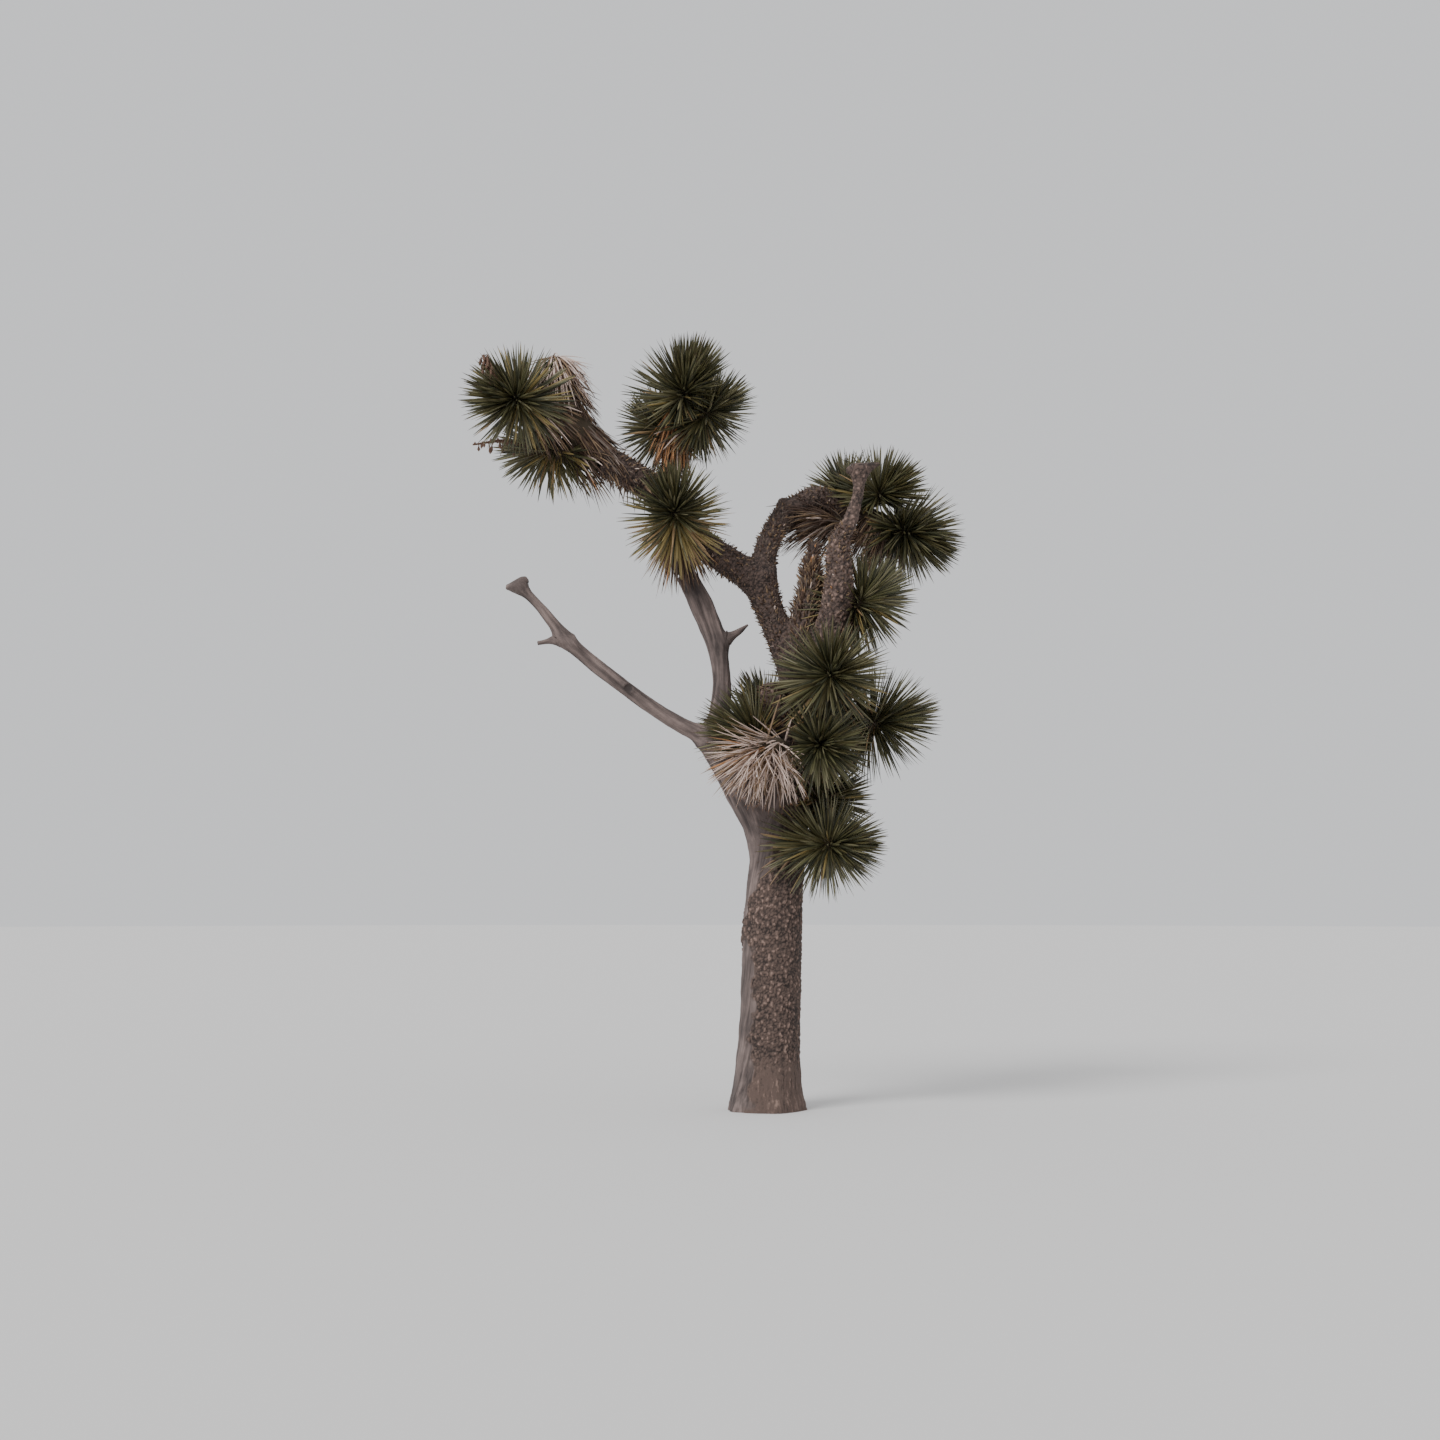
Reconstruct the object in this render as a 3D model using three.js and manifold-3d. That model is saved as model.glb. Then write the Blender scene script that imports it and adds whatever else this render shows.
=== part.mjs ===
// A joshua tree, the branching yucca of high desert, rooted in level ground.
// One trunk forks into a bare, weathered side and a living side. Each living limb ends in heads:
// thick stems set all round with stiff dagger leaves, upright at the tip and folded back below.
// Millimetres. X runs to the right, Y away from the viewer, Z up; the origin is the trunk's foot.

import * as THREE from "three";
import { mergeVertices } from "three/addons/utils/BufferGeometryUtils.js";
import Module from "manifold-3d";

const wasm = await Module();
wasm.setup();

// Driving dimensions.
const LEAF_LENGTH = 370;
const LEAF_WIDTH = 46;
const LEAF_THICKNESS = 10;
const LEAF_BELLY = 0.22; // share of a leaf's length at which it is widest
const LEAF_END_SHORTER = 0.12; // how much shorter a head's first and last leaves are, as a share
const ROOT_SUNK = 28; // how deep a leaf's root sits in its stem
const CLEARANCE = 0.3; // between pieces that meet
const GOLDEN_ANGLE = Math.PI * (3 - Math.sqrt(5));
const REACH_SHARE = 0.6; // a leaf keeps this share of its length in its own head's space
const LEAF_TRIMS = [1, 0.75, 0.5]; // shares of its length that a leaf is tried at
const TRUNK_SIDES = 18;
const LIMB_SIDES = 10;
const STEM_SIDES = 6;
const LIMB_STEPS = 2; // rings for each span between stations
const STEM_STEPS = 1;
const ROOT_LOBES = 5;
const ROOT_LOBE_DEPTH = 0.09; // share of the radius, at the ground
const ROOT_LOBE_HEIGHT = 260; // height over which the root lobes fade
const GROUND_BLOCK = [2000, 2000, 400]; // what the flat cut at ground level takes away
const NEARLY_PARALLEL = 0.99; // cosine past which a frame's side is chosen afresh
const SAMPLES_PER_SPAN = 4; // points on a stem at which distances to it are measured
const WELD = 1e-3;

// Limbs from the ground up, as stations [x, y, z, radius] along each centre line.
const LIMBS = {
  trunk: [
    [-12, 0, -60, 262],
    [-5, 0, 165, 226],
    [10, 0, 465, 206],
    [30, 0, 1000, 200],
    [55, 0, 1540, 190],
    [110, 0, 1980, 178],
    [170, 10, 2300, 158],
    [225, 20, 2560, 138],
  ],
  bare_bough: [
    [25, -10, 1825, 140],
    [-170, -30, 2170, 128],
    [-340, -50, 2420, 100],
    [-450, -65, 2520, 70],
    [-610, -90, 2605, 57],
    [-970, -160, 2845, 53],
    [-1310, -230, 3120, 52],
    [-1530, -280, 3375, 34],
    [-1675, -310, 3520, 40],
  ],
  bare_bough_stub: [
    [-1325, -232, 3138, 24],
    [-1445, -260, 3140, 20],
    [-1540, -290, 3122, 17],
  ],
  grey_bough: [
    [-350, -52, 2460, 88],
    [-305, -40, 2765, 74],
    [-305, -30, 2955, 66],
    [-342, -20, 3165, 77],
    [-418, -30, 3365, 88],
    [-475, -40, 3490, 84],
    [-555, -50, 3630, 74],
  ],
  grey_bough_stub: [
    [-310, -20, 3150, 26],
    [-195, -40, 3225, 26],
    [-120, -50, 3280, 9],
  ],
  leader: [
    [232, 22, 2540, 112],
    [220, 10, 2835, 98],
    [105, 10, 3180, 86],
    [15, 20, 3420, 92],
    [-45, 30, 3620, 100],
  ],
  left_bough: [
    [-60, 30, 3600, 92],
    [-230, -10, 3705, 93],
    [-415, -70, 3825, 86],
    [-590, -150, 4000, 82],
    [-755, -230, 4180, 88],
    [-930, -300, 4275, 92],
    [-1095, -350, 4365, 92],
  ],
  arch_rise: [
    [-30, 35, 3640, 78],
    [20, 130, 3860, 72],
    [90, 230, 4015, 70],
    [175, 320, 4150, 76],
  ],
  arch_crown: [
    [170, 320, 4135, 70],
    [365, 400, 4235, 84],
    [540, 440, 4190, 78],
    [700, 450, 4155, 66],
  ],
  broken_limb: [
    [270, -40, 2560, 100],
    [400, -180, 3060, 102],
    [490, -260, 3525, 90],
    [488, -275, 3775, 70],
    [570, -285, 3970, 45],
    [617, -290, 4130, 34],
    [635, -290, 4315, 40],
  ],
  shaggy_limb: [
    [235, -20, 2580, 100],
    [250, -30, 3075, 108],
    [275, -10, 3350, 88],
    [315, 10, 3565, 66],
    [315, 30, 3720, 38],
    [350, 70, 3865, 34],
  ],
  stump: [
    [150, -70, 2470, 84],
    [75, -150, 2700, 84],
    [42, -170, 2815, 78],
    [35, -175, 2862, 48],
  ],
};

// Splayed broken ends and old flower stalks, fused to the piece that carries them.
const SPURS = {
  bare_bough: [[-1745, -320, 3500, 12], [-1675, -310, 3512, 30], [-1615, -300, 3555, 12]],
  broken_limb: [[545, -290, 4300, 14], [640, -290, 4305, 28], [765, -290, 4345, 11]],
  left_low_head: [[-1570, -160, 4468, 26], [-1760, -340, 4490, 17], [-1960, -500, 4430, 7]],
  left_front_head: [[-1700, -720, 4695, 22], [-1800, -815, 4830, 17], [-1860, -840, 4950, 8]],
};

// How a head's leaves stand: the share of its stem that is bare, and the angles between leaf and
// stem in degrees at the lowest and at the highest leaf. Above 1, the curve lets leaves fold back
// from nearer the tip. Then the leaves' size and number, and what pulls them aside as a share of
// their own direction.
const HABITS = {
  living: { bare: 0.2, low: 132, high: 10, curve: 1.6, length: 1, count: 30, pull: [0, 0, 0] },
  skirted: { bare: 0.5, low: 158, high: 10, curve: 1, length: 1.06, count: 32, pull: [0, 0, 0] },
  broad: { bare: 0.32, low: 140, high: 10, curve: 1.4, length: 1.12, count: 30, pull: [0, 0, 0] },
  tall: { bare: 0.44, low: 150, high: 10, curve: 1.1, length: 1, count: 30, pull: [0, 0, 0] },
  shaggy: { bare: 0.1, low: 150, high: 10, curve: 1.4, length: 1.12, count: 34, pull: [0, 0, 0] },
  small: { bare: 0.22, low: 128, high: 10, curve: 1.6, length: 0.88, count: 26, pull: [0, 0, 0] },
  thatch: { bare: 0.05, low: 164, high: 125, curve: 2.5, length: 0.72, count: 36, pull: [0, 0, 0] },
  hanging: { bare: 0.05, low: 155, high: 100, curve: 1.6, length: 0.9, count: 28, pull: [-0.3, 0, -0.4] },
  straw: { bare: 0.1, low: 130, high: 60, curve: 1.6, length: 1.05, count: 32, pull: [-0.6, -0.2, -0.6] },
};

// Heads as a habit and a stem through three stations [x, y, z, radius].
const HEADS = {
  left_thatch: ["thatch", [-1095, -350, 4365, 90], [-1320, -345, 4630, 112], [-1450, -330, 5040, 75]],
  left_front_head: ["tall", [-1235, -385, 4540, 60], [-1570, -550, 4690, 64], [-1715, -740, 4700, 38]],
  left_low_head: ["small", [-1130, -370, 4345, 70], [-1430, -270, 4440, 72], [-1620, -120, 4475, 40]],
  top_head: ["skirted", [-668, -190, 4130, 60], [-600, -220, 4690, 68], [-520, -460, 4890, 38]],
  top_right_head: ["small", [-600, -210, 4550, 50], [-440, -260, 4670, 56], [-330, -330, 4750, 36]],
  top_left_head: ["small", [-620, -190, 4530, 50], [-690, -50, 4630, 56], [-750, 90, 4720, 36]],
  top_back_head: ["small", [-605, -200, 4600, 50], [-500, -20, 4740, 56], [-430, 130, 4870, 36]],
  hanging_head: ["tall", [-560, -52, 3645, 62], [-595, -200, 3890, 66], [-630, -460, 4060, 40]],
  arch_thatch: ["hanging", [262, 355, 4150, 50], [410, 340, 4070, 60], [575, 370, 4045, 50]],
  arch_top_head: ["living", [645, 440, 4180, 55], [770, 410, 4240, 60], [865, 300, 4285, 36]],
  arch_right_head: ["shaggy", [700, 450, 4140, 55], [920, 410, 4040, 60], [1085, 300, 3945, 38]],
  arch_back_head: ["small", [615, 480, 4190, 55], [600, 580, 4280, 60], [600, 680, 4370, 36]],
  right_high_head: ["living", [475, -200, 3270, 50], [630, -90, 3420, 56], [735, -10, 3500, 36]],
  front_head: ["broad", [320, -140, 2700, 60], [400, -310, 2850, 64], [440, -480, 2930, 38]],
  right_head: ["broad", [300, 15, 2560, 60], [650, 30, 2600, 64], [870, 0, 2640, 38]],
  centre_head: ["living", [235, -80, 2440, 60], [330, -300, 2440, 64], [375, -430, 2430, 38]],
  left_head: ["broad", [140, -60, 2400, 55], [-10, -130, 2490, 62], [-140, -200, 2530, 38]],
  straw_skirt: ["straw", [150, -100, 2330, 60], [60, -330, 2420, 66], [-130, -420, 2360, 50]],
  behind_head: ["small", [165, 95, 2470, 55], [50, 180, 2630, 60], [-30, 220, 2765, 36]],
  far_head: ["living", [265, 80, 2560, 60], [370, 320, 2710, 62], [405, 480, 2815, 36]],
  low_right_head: ["living", [220, 0, 2070, 60], [350, 60, 2085, 62], [430, 130, 2100, 38]],
  low_head: ["living", [160, -90, 1775, 60], [360, -200, 1775, 66], [510, -280, 1775, 38]],
};

// Turns a closed three.js geometry into a solid that can be joined and cut.
function toSolid(geometry) {
  const bare = geometry.clone();
  bare.deleteAttribute("normal");
  bare.deleteAttribute("uv");
  const merged = mergeVertices(bare, WELD);
  return new wasm.Manifold(
    new wasm.Mesh({
      numProp: 3,
      vertProperties: new Float32Array(merged.attributes.position.array),
      triVerts: new Uint32Array(merged.index.array),
    }),
  );
}

function toGeometry(solid) {
  const { vertProperties, triVerts } = solid.getMesh();
  const geometry = new THREE.BufferGeometry();
  geometry.setAttribute("position", new THREE.BufferAttribute(vertProperties, 3));
  geometry.setIndex(new THREE.BufferAttribute(triVerts, 1));
  return geometry.toNonIndexed();
}

// A limb or stem: its smooth centre line, its girth along it, and a frame square to it.
class Stem {
  constructor(stations) {
    this.spans = stations.length - 1;
    this.line = new THREE.CatmullRomCurve3(stations.map(([x, y, z]) => new THREE.Vector3(x, y, z)));
    this.girth = new THREE.SplineCurve(stations.map(([, , , r], i) => new THREE.Vector2(i, r)));
    this.samples = this.line.getPoints(SAMPLES_PER_SPAN * this.spans);
  }

  radius(t) {
    return this.girth.getPoint(t).y;
  }

  // Frames [centre, side, front, along] at evenly spaced t, each turned as little as it can be.
  frames(count) {
    let side = new THREE.Vector3(1, 0, 0);
    return Array.from({ length: count }, (_, k) => {
      const t = k / (count - 1);
      const along = this.line.getTangent(t);
      if (Math.abs(side.dot(along)) > NEARLY_PARALLEL) side = new THREE.Vector3(0, 1, 0);
      side = side.clone().addScaledVector(along, -side.dot(along)).normalize();
      return [this.line.getPoint(t), side, new THREE.Vector3().crossVectors(side, along), along];
    });
  }

  distanceTo(point) {
    return Math.min(...this.samples.map((sample) => sample.distanceTo(point)));
  }
}

// The solid of a stem: a lathe whose axis is bent along the centre line. Relief scales the radius
// by angle and place, and grow makes the solid larger all round.
function stemSolid(stem, sides, steps, { grow = 0, relief = () => 1 } = {}) {
  const rings = steps * stem.spans + 1;
  const frames = stem.frames(rings);
  const profile = frames.map((_, k) => new THREE.Vector2(stem.radius(k / (rings - 1)) + grow, k));
  const lathe = new THREE.LatheGeometry(
    [new THREE.Vector2(0, 0), ...profile, new THREE.Vector2(0, rings - 1)],
    sides,
  );
  const places = lathe.attributes.position;
  for (let i = 0; i < places.count; i++) {
    const [x, ring, z] = [places.getX(i), Math.round(places.getY(i)), places.getZ(i)];
    const [centre, side, front, along] = frames[ring];
    const scale = relief(Math.atan2(z, x), centre.z);
    const past = ring === 0 ? -grow : ring === rings - 1 ? grow : 0;
    const point = centre
      .clone()
      .addScaledVector(side, x * scale)
      .addScaledVector(front, z * scale)
      .addScaledVector(along, past);
    places.setXYZ(i, point.x, point.y, point.z);
  }
  return toSolid(lathe);
}

// A limb or stem with the spur that it carries.
function pieceSolid(name, stem, sides, steps, options) {
  const whole = stemSolid(stem, sides, steps, options);
  return name in SPURS ? whole.add(stemSolid(new Stem(SPURS[name]), STEM_SIDES, STEM_STEPS, options)) : whole;
}

function rootLobes(angle, height) {
  const fade = Math.exp(-Math.max(height, 0) / ROOT_LOBE_HEIGHT);
  return 1 + ROOT_LOBE_DEPTH * fade * Math.cos(ROOT_LOBES * angle);
}

// A dagger leaf of eight faces, from its root along a direction, flat side across the stem.
function leafSolid(root, direction, across, size, grow = 0) {
  const blade = new THREE.OctahedronGeometry(1, 0);
  const places = blade.attributes.position;
  const up = new THREE.Vector3().crossVectors(across, direction);
  for (let i = 0; i < places.count; i++) {
    const [x, y, z] = [places.getX(i), places.getY(i), places.getZ(i)];
    const share = y > 0 ? 1 : y < 0 ? 0 : LEAF_BELLY;
    const point = root
      .clone()
      .addScaledVector(direction, share * size + y * grow)
      .addScaledVector(across, x * (LEAF_WIDTH / 2 + grow))
      .addScaledVector(up, z * (LEAF_THICKNESS / 2 + grow));
    places.setXYZ(i, point.x, point.y, point.z);
  }
  return toSolid(blade);
}

function boxesMeet(a, b) {
  return [0, 1, 2].every((k) => a.min[k] <= b.max[k] && b.min[k] <= a.max[k]);
}

function touches({ solid, box }, others) {
  return others.some((other) => boxesMeet(box, other.box) && !solid.intersect(other.solid).isEmpty());
}

function largestBody(solid) {
  return solid.decompose().reduce((a, b) => (a.volume() > b.volume() ? a : b));
}

// Cuts away what earlier pieces hold, each grown by the clearance, and keeps the main body.
function cutClear(solid, earlier) {
  const box = solid.boundingBox();
  const near = earlier.filter((other) => boxesMeet(box, other.box));
  return largestBody(near.reduce((left, other) => left.subtract(other.solid), solid));
}

function boxed(solid) {
  return { solid, box: solid.boundingBox() };
}

// The leaves of a head, worked out by turning each one the golden angle past the last.
function leafPlaces(stem, habit) {
  const { bare, low, high, curve, length, count, pull } = habit;
  const frames = stem.frames(count);
  return Array.from({ length: count }, (_, i) => {
    const share = (i + 0.5) / count;
    const t = bare + (1 - bare) * share;
    const [, side, front, along] = frames[Math.round(t * (count - 1))];
    const turn = i * GOLDEN_ANGLE;
    const outward = side.clone().multiplyScalar(Math.cos(turn)).addScaledVector(front, Math.sin(turn));
    const lean = THREE.MathUtils.degToRad(THREE.MathUtils.lerp(low, high, share ** curve));
    const direction = outward
      .clone()
      .multiplyScalar(Math.sin(lean))
      .addScaledVector(along, Math.cos(lean))
      .add(new THREE.Vector3(...pull))
      .normalize();
    const root = stem.line.getPoint(t).addScaledVector(outward, stem.radius(t) - ROOT_SUNK);
    const across = new THREE.Vector3().crossVectors(along, outward);
    across.addScaledVector(direction, -across.dot(direction)).normalize();
    const size = LEAF_LENGTH * length * (1 - LEAF_END_SHORTER * Math.abs(2 * share - 1));
    return { root, direction, across, size };
  });
}

function growLimbs() {
  const ground = toSolid(new THREE.BoxGeometry(...GROUND_BLOCK).translate(0, 0, -GROUND_BLOCK[2] / 2));
  const solids = {};
  const taken = [];
  for (const [name, stations] of Object.entries(LIMBS)) {
    const stem = new Stem(stations);
    const isTrunk = name === "trunk";
    const sides = isTrunk ? TRUNK_SIDES : LIMB_SIDES;
    const relief = isTrunk ? rootLobes : undefined;
    const whole = cutClear(pieceSolid(name, stem, sides, LIMB_STEPS, { relief }), taken);
    solids[name] = isTrunk ? whole.subtract(ground) : whole;
    taken.push(boxed(pieceSolid(name, stem, sides, LIMB_STEPS, { grow: CLEARANCE, relief })));
  }
  return { solids, taken };
}

// Tells whether a leaf's far part lies nearer to another head's stem than to its own.
function strays(reach, head, heads) {
  const own = head.stem.distanceTo(reach);
  return heads.some((other) => other !== head && other.stem.distanceTo(reach) < own);
}

// Adds a leaf to its head at the longest trim that keeps to the head's space and touches no other
// piece, or leaves it out.
function addLeaf(head, { root, direction, across, size }, heads, limbs) {
  const others = heads.filter((other) => other !== head);
  const obstacles = [...limbs, ...others.flatMap(({ barrier, guards }) => [barrier, ...guards])];
  for (const length of LEAF_TRIMS.map((trim) => trim * size)) {
    const reach = root.clone().addScaledVector(direction, REACH_SHARE * length);
    const guard = boxed(leafSolid(root, direction, across, length, CLEARANCE));
    if (strays(reach, head, heads) || touches(guard, obstacles)) continue;
    head.leaves.push(leafSolid(root, direction, across, length));
    head.guards.push(guard);
    return;
  }
}

// The heads take turns at adding a leaf, from their tips down, so that none crowds out another.
function growHeads(limbs) {
  const heads = Object.entries(HEADS).map(([name, [habit, ...stations]]) => {
    const stem = new Stem(stations);
    return { name, stem, places: leafPlaces(stem, HABITS[habit]), leaves: [], guards: [] };
  });
  const taken = [...limbs];
  for (const head of heads) {
    head.core = cutClear(pieceSolid(head.name, head.stem, STEM_SIDES, STEM_STEPS), taken);
    head.barrier = boxed(pieceSolid(head.name, head.stem, STEM_SIDES, STEM_STEPS, { grow: CLEARANCE }));
    taken.push(head.barrier);
  }
  const most = Math.max(...heads.map((head) => head.places.length));
  for (let i = most - 1; i >= 0; i--) {
    for (const head of heads) {
      if (i < head.places.length) addLeaf(head, head.places[i], heads, limbs);
    }
  }
  return Object.fromEntries(
    heads.map(({ name, core, leaves }) => [name, largestBody(wasm.Manifold.union([core, ...leaves]))]),
  );
}

// Finishes, as seen in full daylight.
const FINISHES = {
  bark: { color: 0x5f5148, roughness: 0.95, metalness: 0 },
  bare_wood: { color: 0x8b7d75, roughness: 0.85, metalness: 0 },
  green_leaf: { color: 0x5c6842, roughness: 0.55, metalness: 0 },
  dead_leaf: { color: 0xa08d78, roughness: 0.8, metalness: 0 },
};

function finishOf(name) {
  if (/bare|grey|stub/.test(name)) return "bare_wood";
  if (name in LIMBS) return "bark";
  return /thatch|skirt/.test(name) ? "dead_leaf" : "green_leaf";
}

const { solids: limbs, taken } = growLimbs();
const tree = new THREE.Group();
for (const [name, solid] of Object.entries({ ...limbs, ...growHeads(taken) })) {
  const mesh = new THREE.Mesh(toGeometry(solid), new THREE.MeshStandardMaterial(FINISHES[finishOf(name)]));
  mesh.name = name;
  tree.add(mesh);
}

export default tree;
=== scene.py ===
"""The looks of a joshua tree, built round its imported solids.

Each limb is a tube along its centre line. The tubes are joined, their forks are blended, and bark nubs
or weathered grain are raised on them. Each head is set with dagger leaves by the rule that its solid
follows, with many more leaves than that has, and the lowest of them dead. Metres, +Z up.
"""

import math
from typing import NamedTuple

import bmesh
import bpy
import numpy as np
from bpy.props import FloatProperty, FloatVectorProperty, PointerProperty
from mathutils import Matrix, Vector, noise


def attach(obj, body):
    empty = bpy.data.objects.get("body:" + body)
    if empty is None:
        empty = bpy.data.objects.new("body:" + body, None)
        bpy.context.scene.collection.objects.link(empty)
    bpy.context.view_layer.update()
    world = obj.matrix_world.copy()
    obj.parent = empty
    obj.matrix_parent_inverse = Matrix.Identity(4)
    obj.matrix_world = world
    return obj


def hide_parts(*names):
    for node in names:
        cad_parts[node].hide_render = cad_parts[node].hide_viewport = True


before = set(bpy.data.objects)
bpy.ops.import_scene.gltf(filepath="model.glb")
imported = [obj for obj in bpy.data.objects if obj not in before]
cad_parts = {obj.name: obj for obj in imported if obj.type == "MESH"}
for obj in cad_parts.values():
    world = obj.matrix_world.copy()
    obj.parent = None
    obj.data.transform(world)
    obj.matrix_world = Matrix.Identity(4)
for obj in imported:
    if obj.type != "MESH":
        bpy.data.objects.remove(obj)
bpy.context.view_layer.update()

bl_info = {
    "name": "Joshua Tree",
    "version": (1, 0, 0),
    "blender": (4, 5, 0),
    "location": "3D Viewport > Sidebar > Joshua Tree",
    "description": "Builds the bark, bare wood, leaves and thatch of a joshua tree round its solids",
    "category": "Add Mesh",
}

# Limbs and heads
UP = np.array([0, 0, 1])
GOLDEN_ANGLE = math.pi * (3 - math.sqrt(5))
STATION_GAP = 0.012  # between stations along a limb's centre line
HEAD_STATIONS = 61
BLUNT_TIP = 0.1  # the girth left at the very tip of a head's stem, as a share
ROOT_LOBES = 5
ROOT_LOBE_DEPTH = 0.09
ROOT_LOBE_HEIGHT = 0.26
TUBE_SIDES = 40
STEM_SIDES = 14
STALK_SIDES = 8
BLEND_PASSES = 2  # how often the forks are filled out

# Leaves
LEAF_END_SHORTER = 0.12  # how much shorter a head's first and last leaves are, as a share
REACH_SHARE = 0.6  # a leaf keeps this share of its length in its own head's space
LEAF_TRIMS = (1, 0.75, 0.5)  # shares of its length that a leaf is tried at
LEAF_PROBES = (0.45, 0.75, 1)  # shares of its length that have to be clear of the limbs
LEAF_CLEARANCE = 0.004  # how far outside the limbs they have to be
PROBE_REACH = 0.05  # limbs further than this from a leaf don't count for it
LEAF_SPREAD = (0.86, 1.02)  # leaves' lengths, as shares of what the rule gives
WIDTH_SPREAD = (0.85, 1.1)
DEAD_WIDTH_SPREAD = (0.6, 1.1)
TURN_SCATTER = 0.05  # of a leaf's place round its stem, in radians
ROLL_SCATTER = 0.35  # and of its turn about its own length
FADE_ENDS = (0.15, 0.75)  # leaves below the first share of a head fade most, above the second none
LEAF_STATIONS = 7
STRAW_STATIONS = 8
STUB_STATIONS = 4
# A leaf's width from its base to its tip, as shares of its length and of its widest.
LEAF_OUTLINE = ((0, 0.72), (0.12, 0.88), (0.34, 1), (0.58, 0.86), (0.8, 0.52), (0.93, 0.2), (1, 0))
LEAF_BACK = 0.25  # how far a leaf's back rises, as a share of its keel
STUB_KEEL = 0.5
BASE_SHARE = 0.05  # faces below this share of a leaf are its base
TIP_SHARE = 0.95  # and above this its brown spine
USUAL_CURL = 0.1  # how far dead leaves curl aside, as a share of length
STRAW_CURL = 0.07
SAG_SCATTER = 0.5  # how unevenly they bend down, as a share of how far
LIVING_SEED = 11
DEAD_SEED = 23
STUB_SEED = 37
STALK_SEED = 41

# How far round from the trunk's left side its bare wood reaches in front, in degrees, by height. It
# reaches half as far behind, and its ends slope down towards the back.
STRIP_HEIGHTS = (0, 0.23, 1.03, 1.09, 1.11, 1.21, 1.27, 1.4, 1.58, 1.9, 2.2, 2.4)
STRIP_HALF_ANGLES = (60, 58, 47, 34, 0, 0, 22, 36, 80, 88, 70, 0)
STRIP_SLOPE = 0.35
STRIP_WANDER = 0.04  # how far its ends stray up and down
STRIP_RAGGED = 17  # how far its long edges stray, in degrees
STRIP_EDGE = 6  # half the width over which it gives way to bark, in degrees

# Weathered grain. Its swings, depths and heights are shares of the grain's depth.
GRAIN_TWIST = 0.7  # turns of the grain round a limb, in radians a metre
GRAIN_STRETCH = 0.09  # how fast it changes along a limb, as a share of how it does across
GRAIN_SHIFT = 3.7  # keeps the grain of one limb apart from the next one's
GRAIN_SWING = 0.8
KNOT_SWING = 0.9
STRAND_TWIST = 1.6  # turns of the grey bough's strands, in radians a metre
STRAND_WANDER = 0.35  # how far they stray round it, in radians
STRAND_REACH = (0.45, 0.75)  # they begin between these lengths along it
STRAND_GROOVE = 0.05  # the larger, the wider the grooves between them
STRAND_DEPTH = 1.2
STRAND_SHADE = 0.5  # how much darker these grooves are
SCAR_PLACE = (-0.93, -0.2, 2.83)  # where a side branch broke off the long bare bough
SCAR_SIZE = 0.032
SCAR_EDGE = (0.5, 1.1)  # the wood rises from the scar between these distances, in scar sizes
SCAR_DEPTH = 0.4
RIM_PLACE = 1.1  # of the scar's rim, in scar sizes
RIM_WIDTH = 0.35
RIM_HEIGHT = 1.1
SEAM_WIDTH = 0.05  # the grain's relief fades out this near to where the next limb begins

# Bark, with heights from 0 in its cracks to 1
BARK_WARP = 0.006  # how far its pattern is pushed about
BARK_SWELL = 0.4  # how far it swells and sinks over a limb's width
BARK_OUTSIDE = 0.3  # the share of its thickness that lies outside the limb's tube
CRACK_EDGE = (0.02, 0.4)  # scales rise from their cracks between these distances, in scales
SCALE_HEIGHT = 0.35
SCALE_CROWN = 0.3  # how much higher a scale's middle is
SCALE_SLOPE = 0.3  # it is reached this far in from the scale's edge, in scales
FIBROUS_FOOT = (0.14, 0.42)  # bark is fibrous below the first height and scaly above the second
FIBRE_MEAN = 0.45
FIBRE_SWING = 0.5
FIBRE_STRETCH = 0.1  # how fast fibres change upwards, as a share of how they do across
NUB_STRETCH = 0.7  # and how fast the pattern of nubs does
NUB_LOSS = (-1.1, -0.5)  # nubs fade where the noise falls from the second of these to the first
NUB_HALF = 0.44  # half a nub's width, in nub spacings, as are the next three
NUB_EDGE = 0.2
DIMPLE_HALF = 0.2
DIMPLE_EDGE = 0.14
DIMPLE_DEPTH = 0.3
NUB_HEIGHT = 0.9
WOOD_REACH = 0.2  # limbs further than this from a point of the wood don't count for it
THIN_LIMB = 0.08  # limbs with a smaller radius than this have a finer relief
FINEST = 0.25  # but no finer than this share of it

# Materials and stage
BARK_ROUGHNESS = 0.92
WOOD_ROUGHNESS = 0.8
BUMP_STRENGTH = 0.8
BUMP_DEPTH = 0.004
GREEN_ROUGHNESS = 0.5
FOOT_ROUGHNESS = 0.6  # of the feet and the spines of living leaves
DRY_ROUGHNESS = 0.8
OLD_ROUGHNESS = 0.85  # of stubs and stalks
DULL_ROUGHNESS = 0.9  # of hidden stems and the floor
FLOOR_SIDES = 96
SUN_PLACE = (-7, -9, 10)  # the side from which the soft light comes
CAMERA_LEFT = -0.313  # the camera stands this far to the left of the trunk
CAMERA_SIGHT = 300  # nothing further away is drawn

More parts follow.
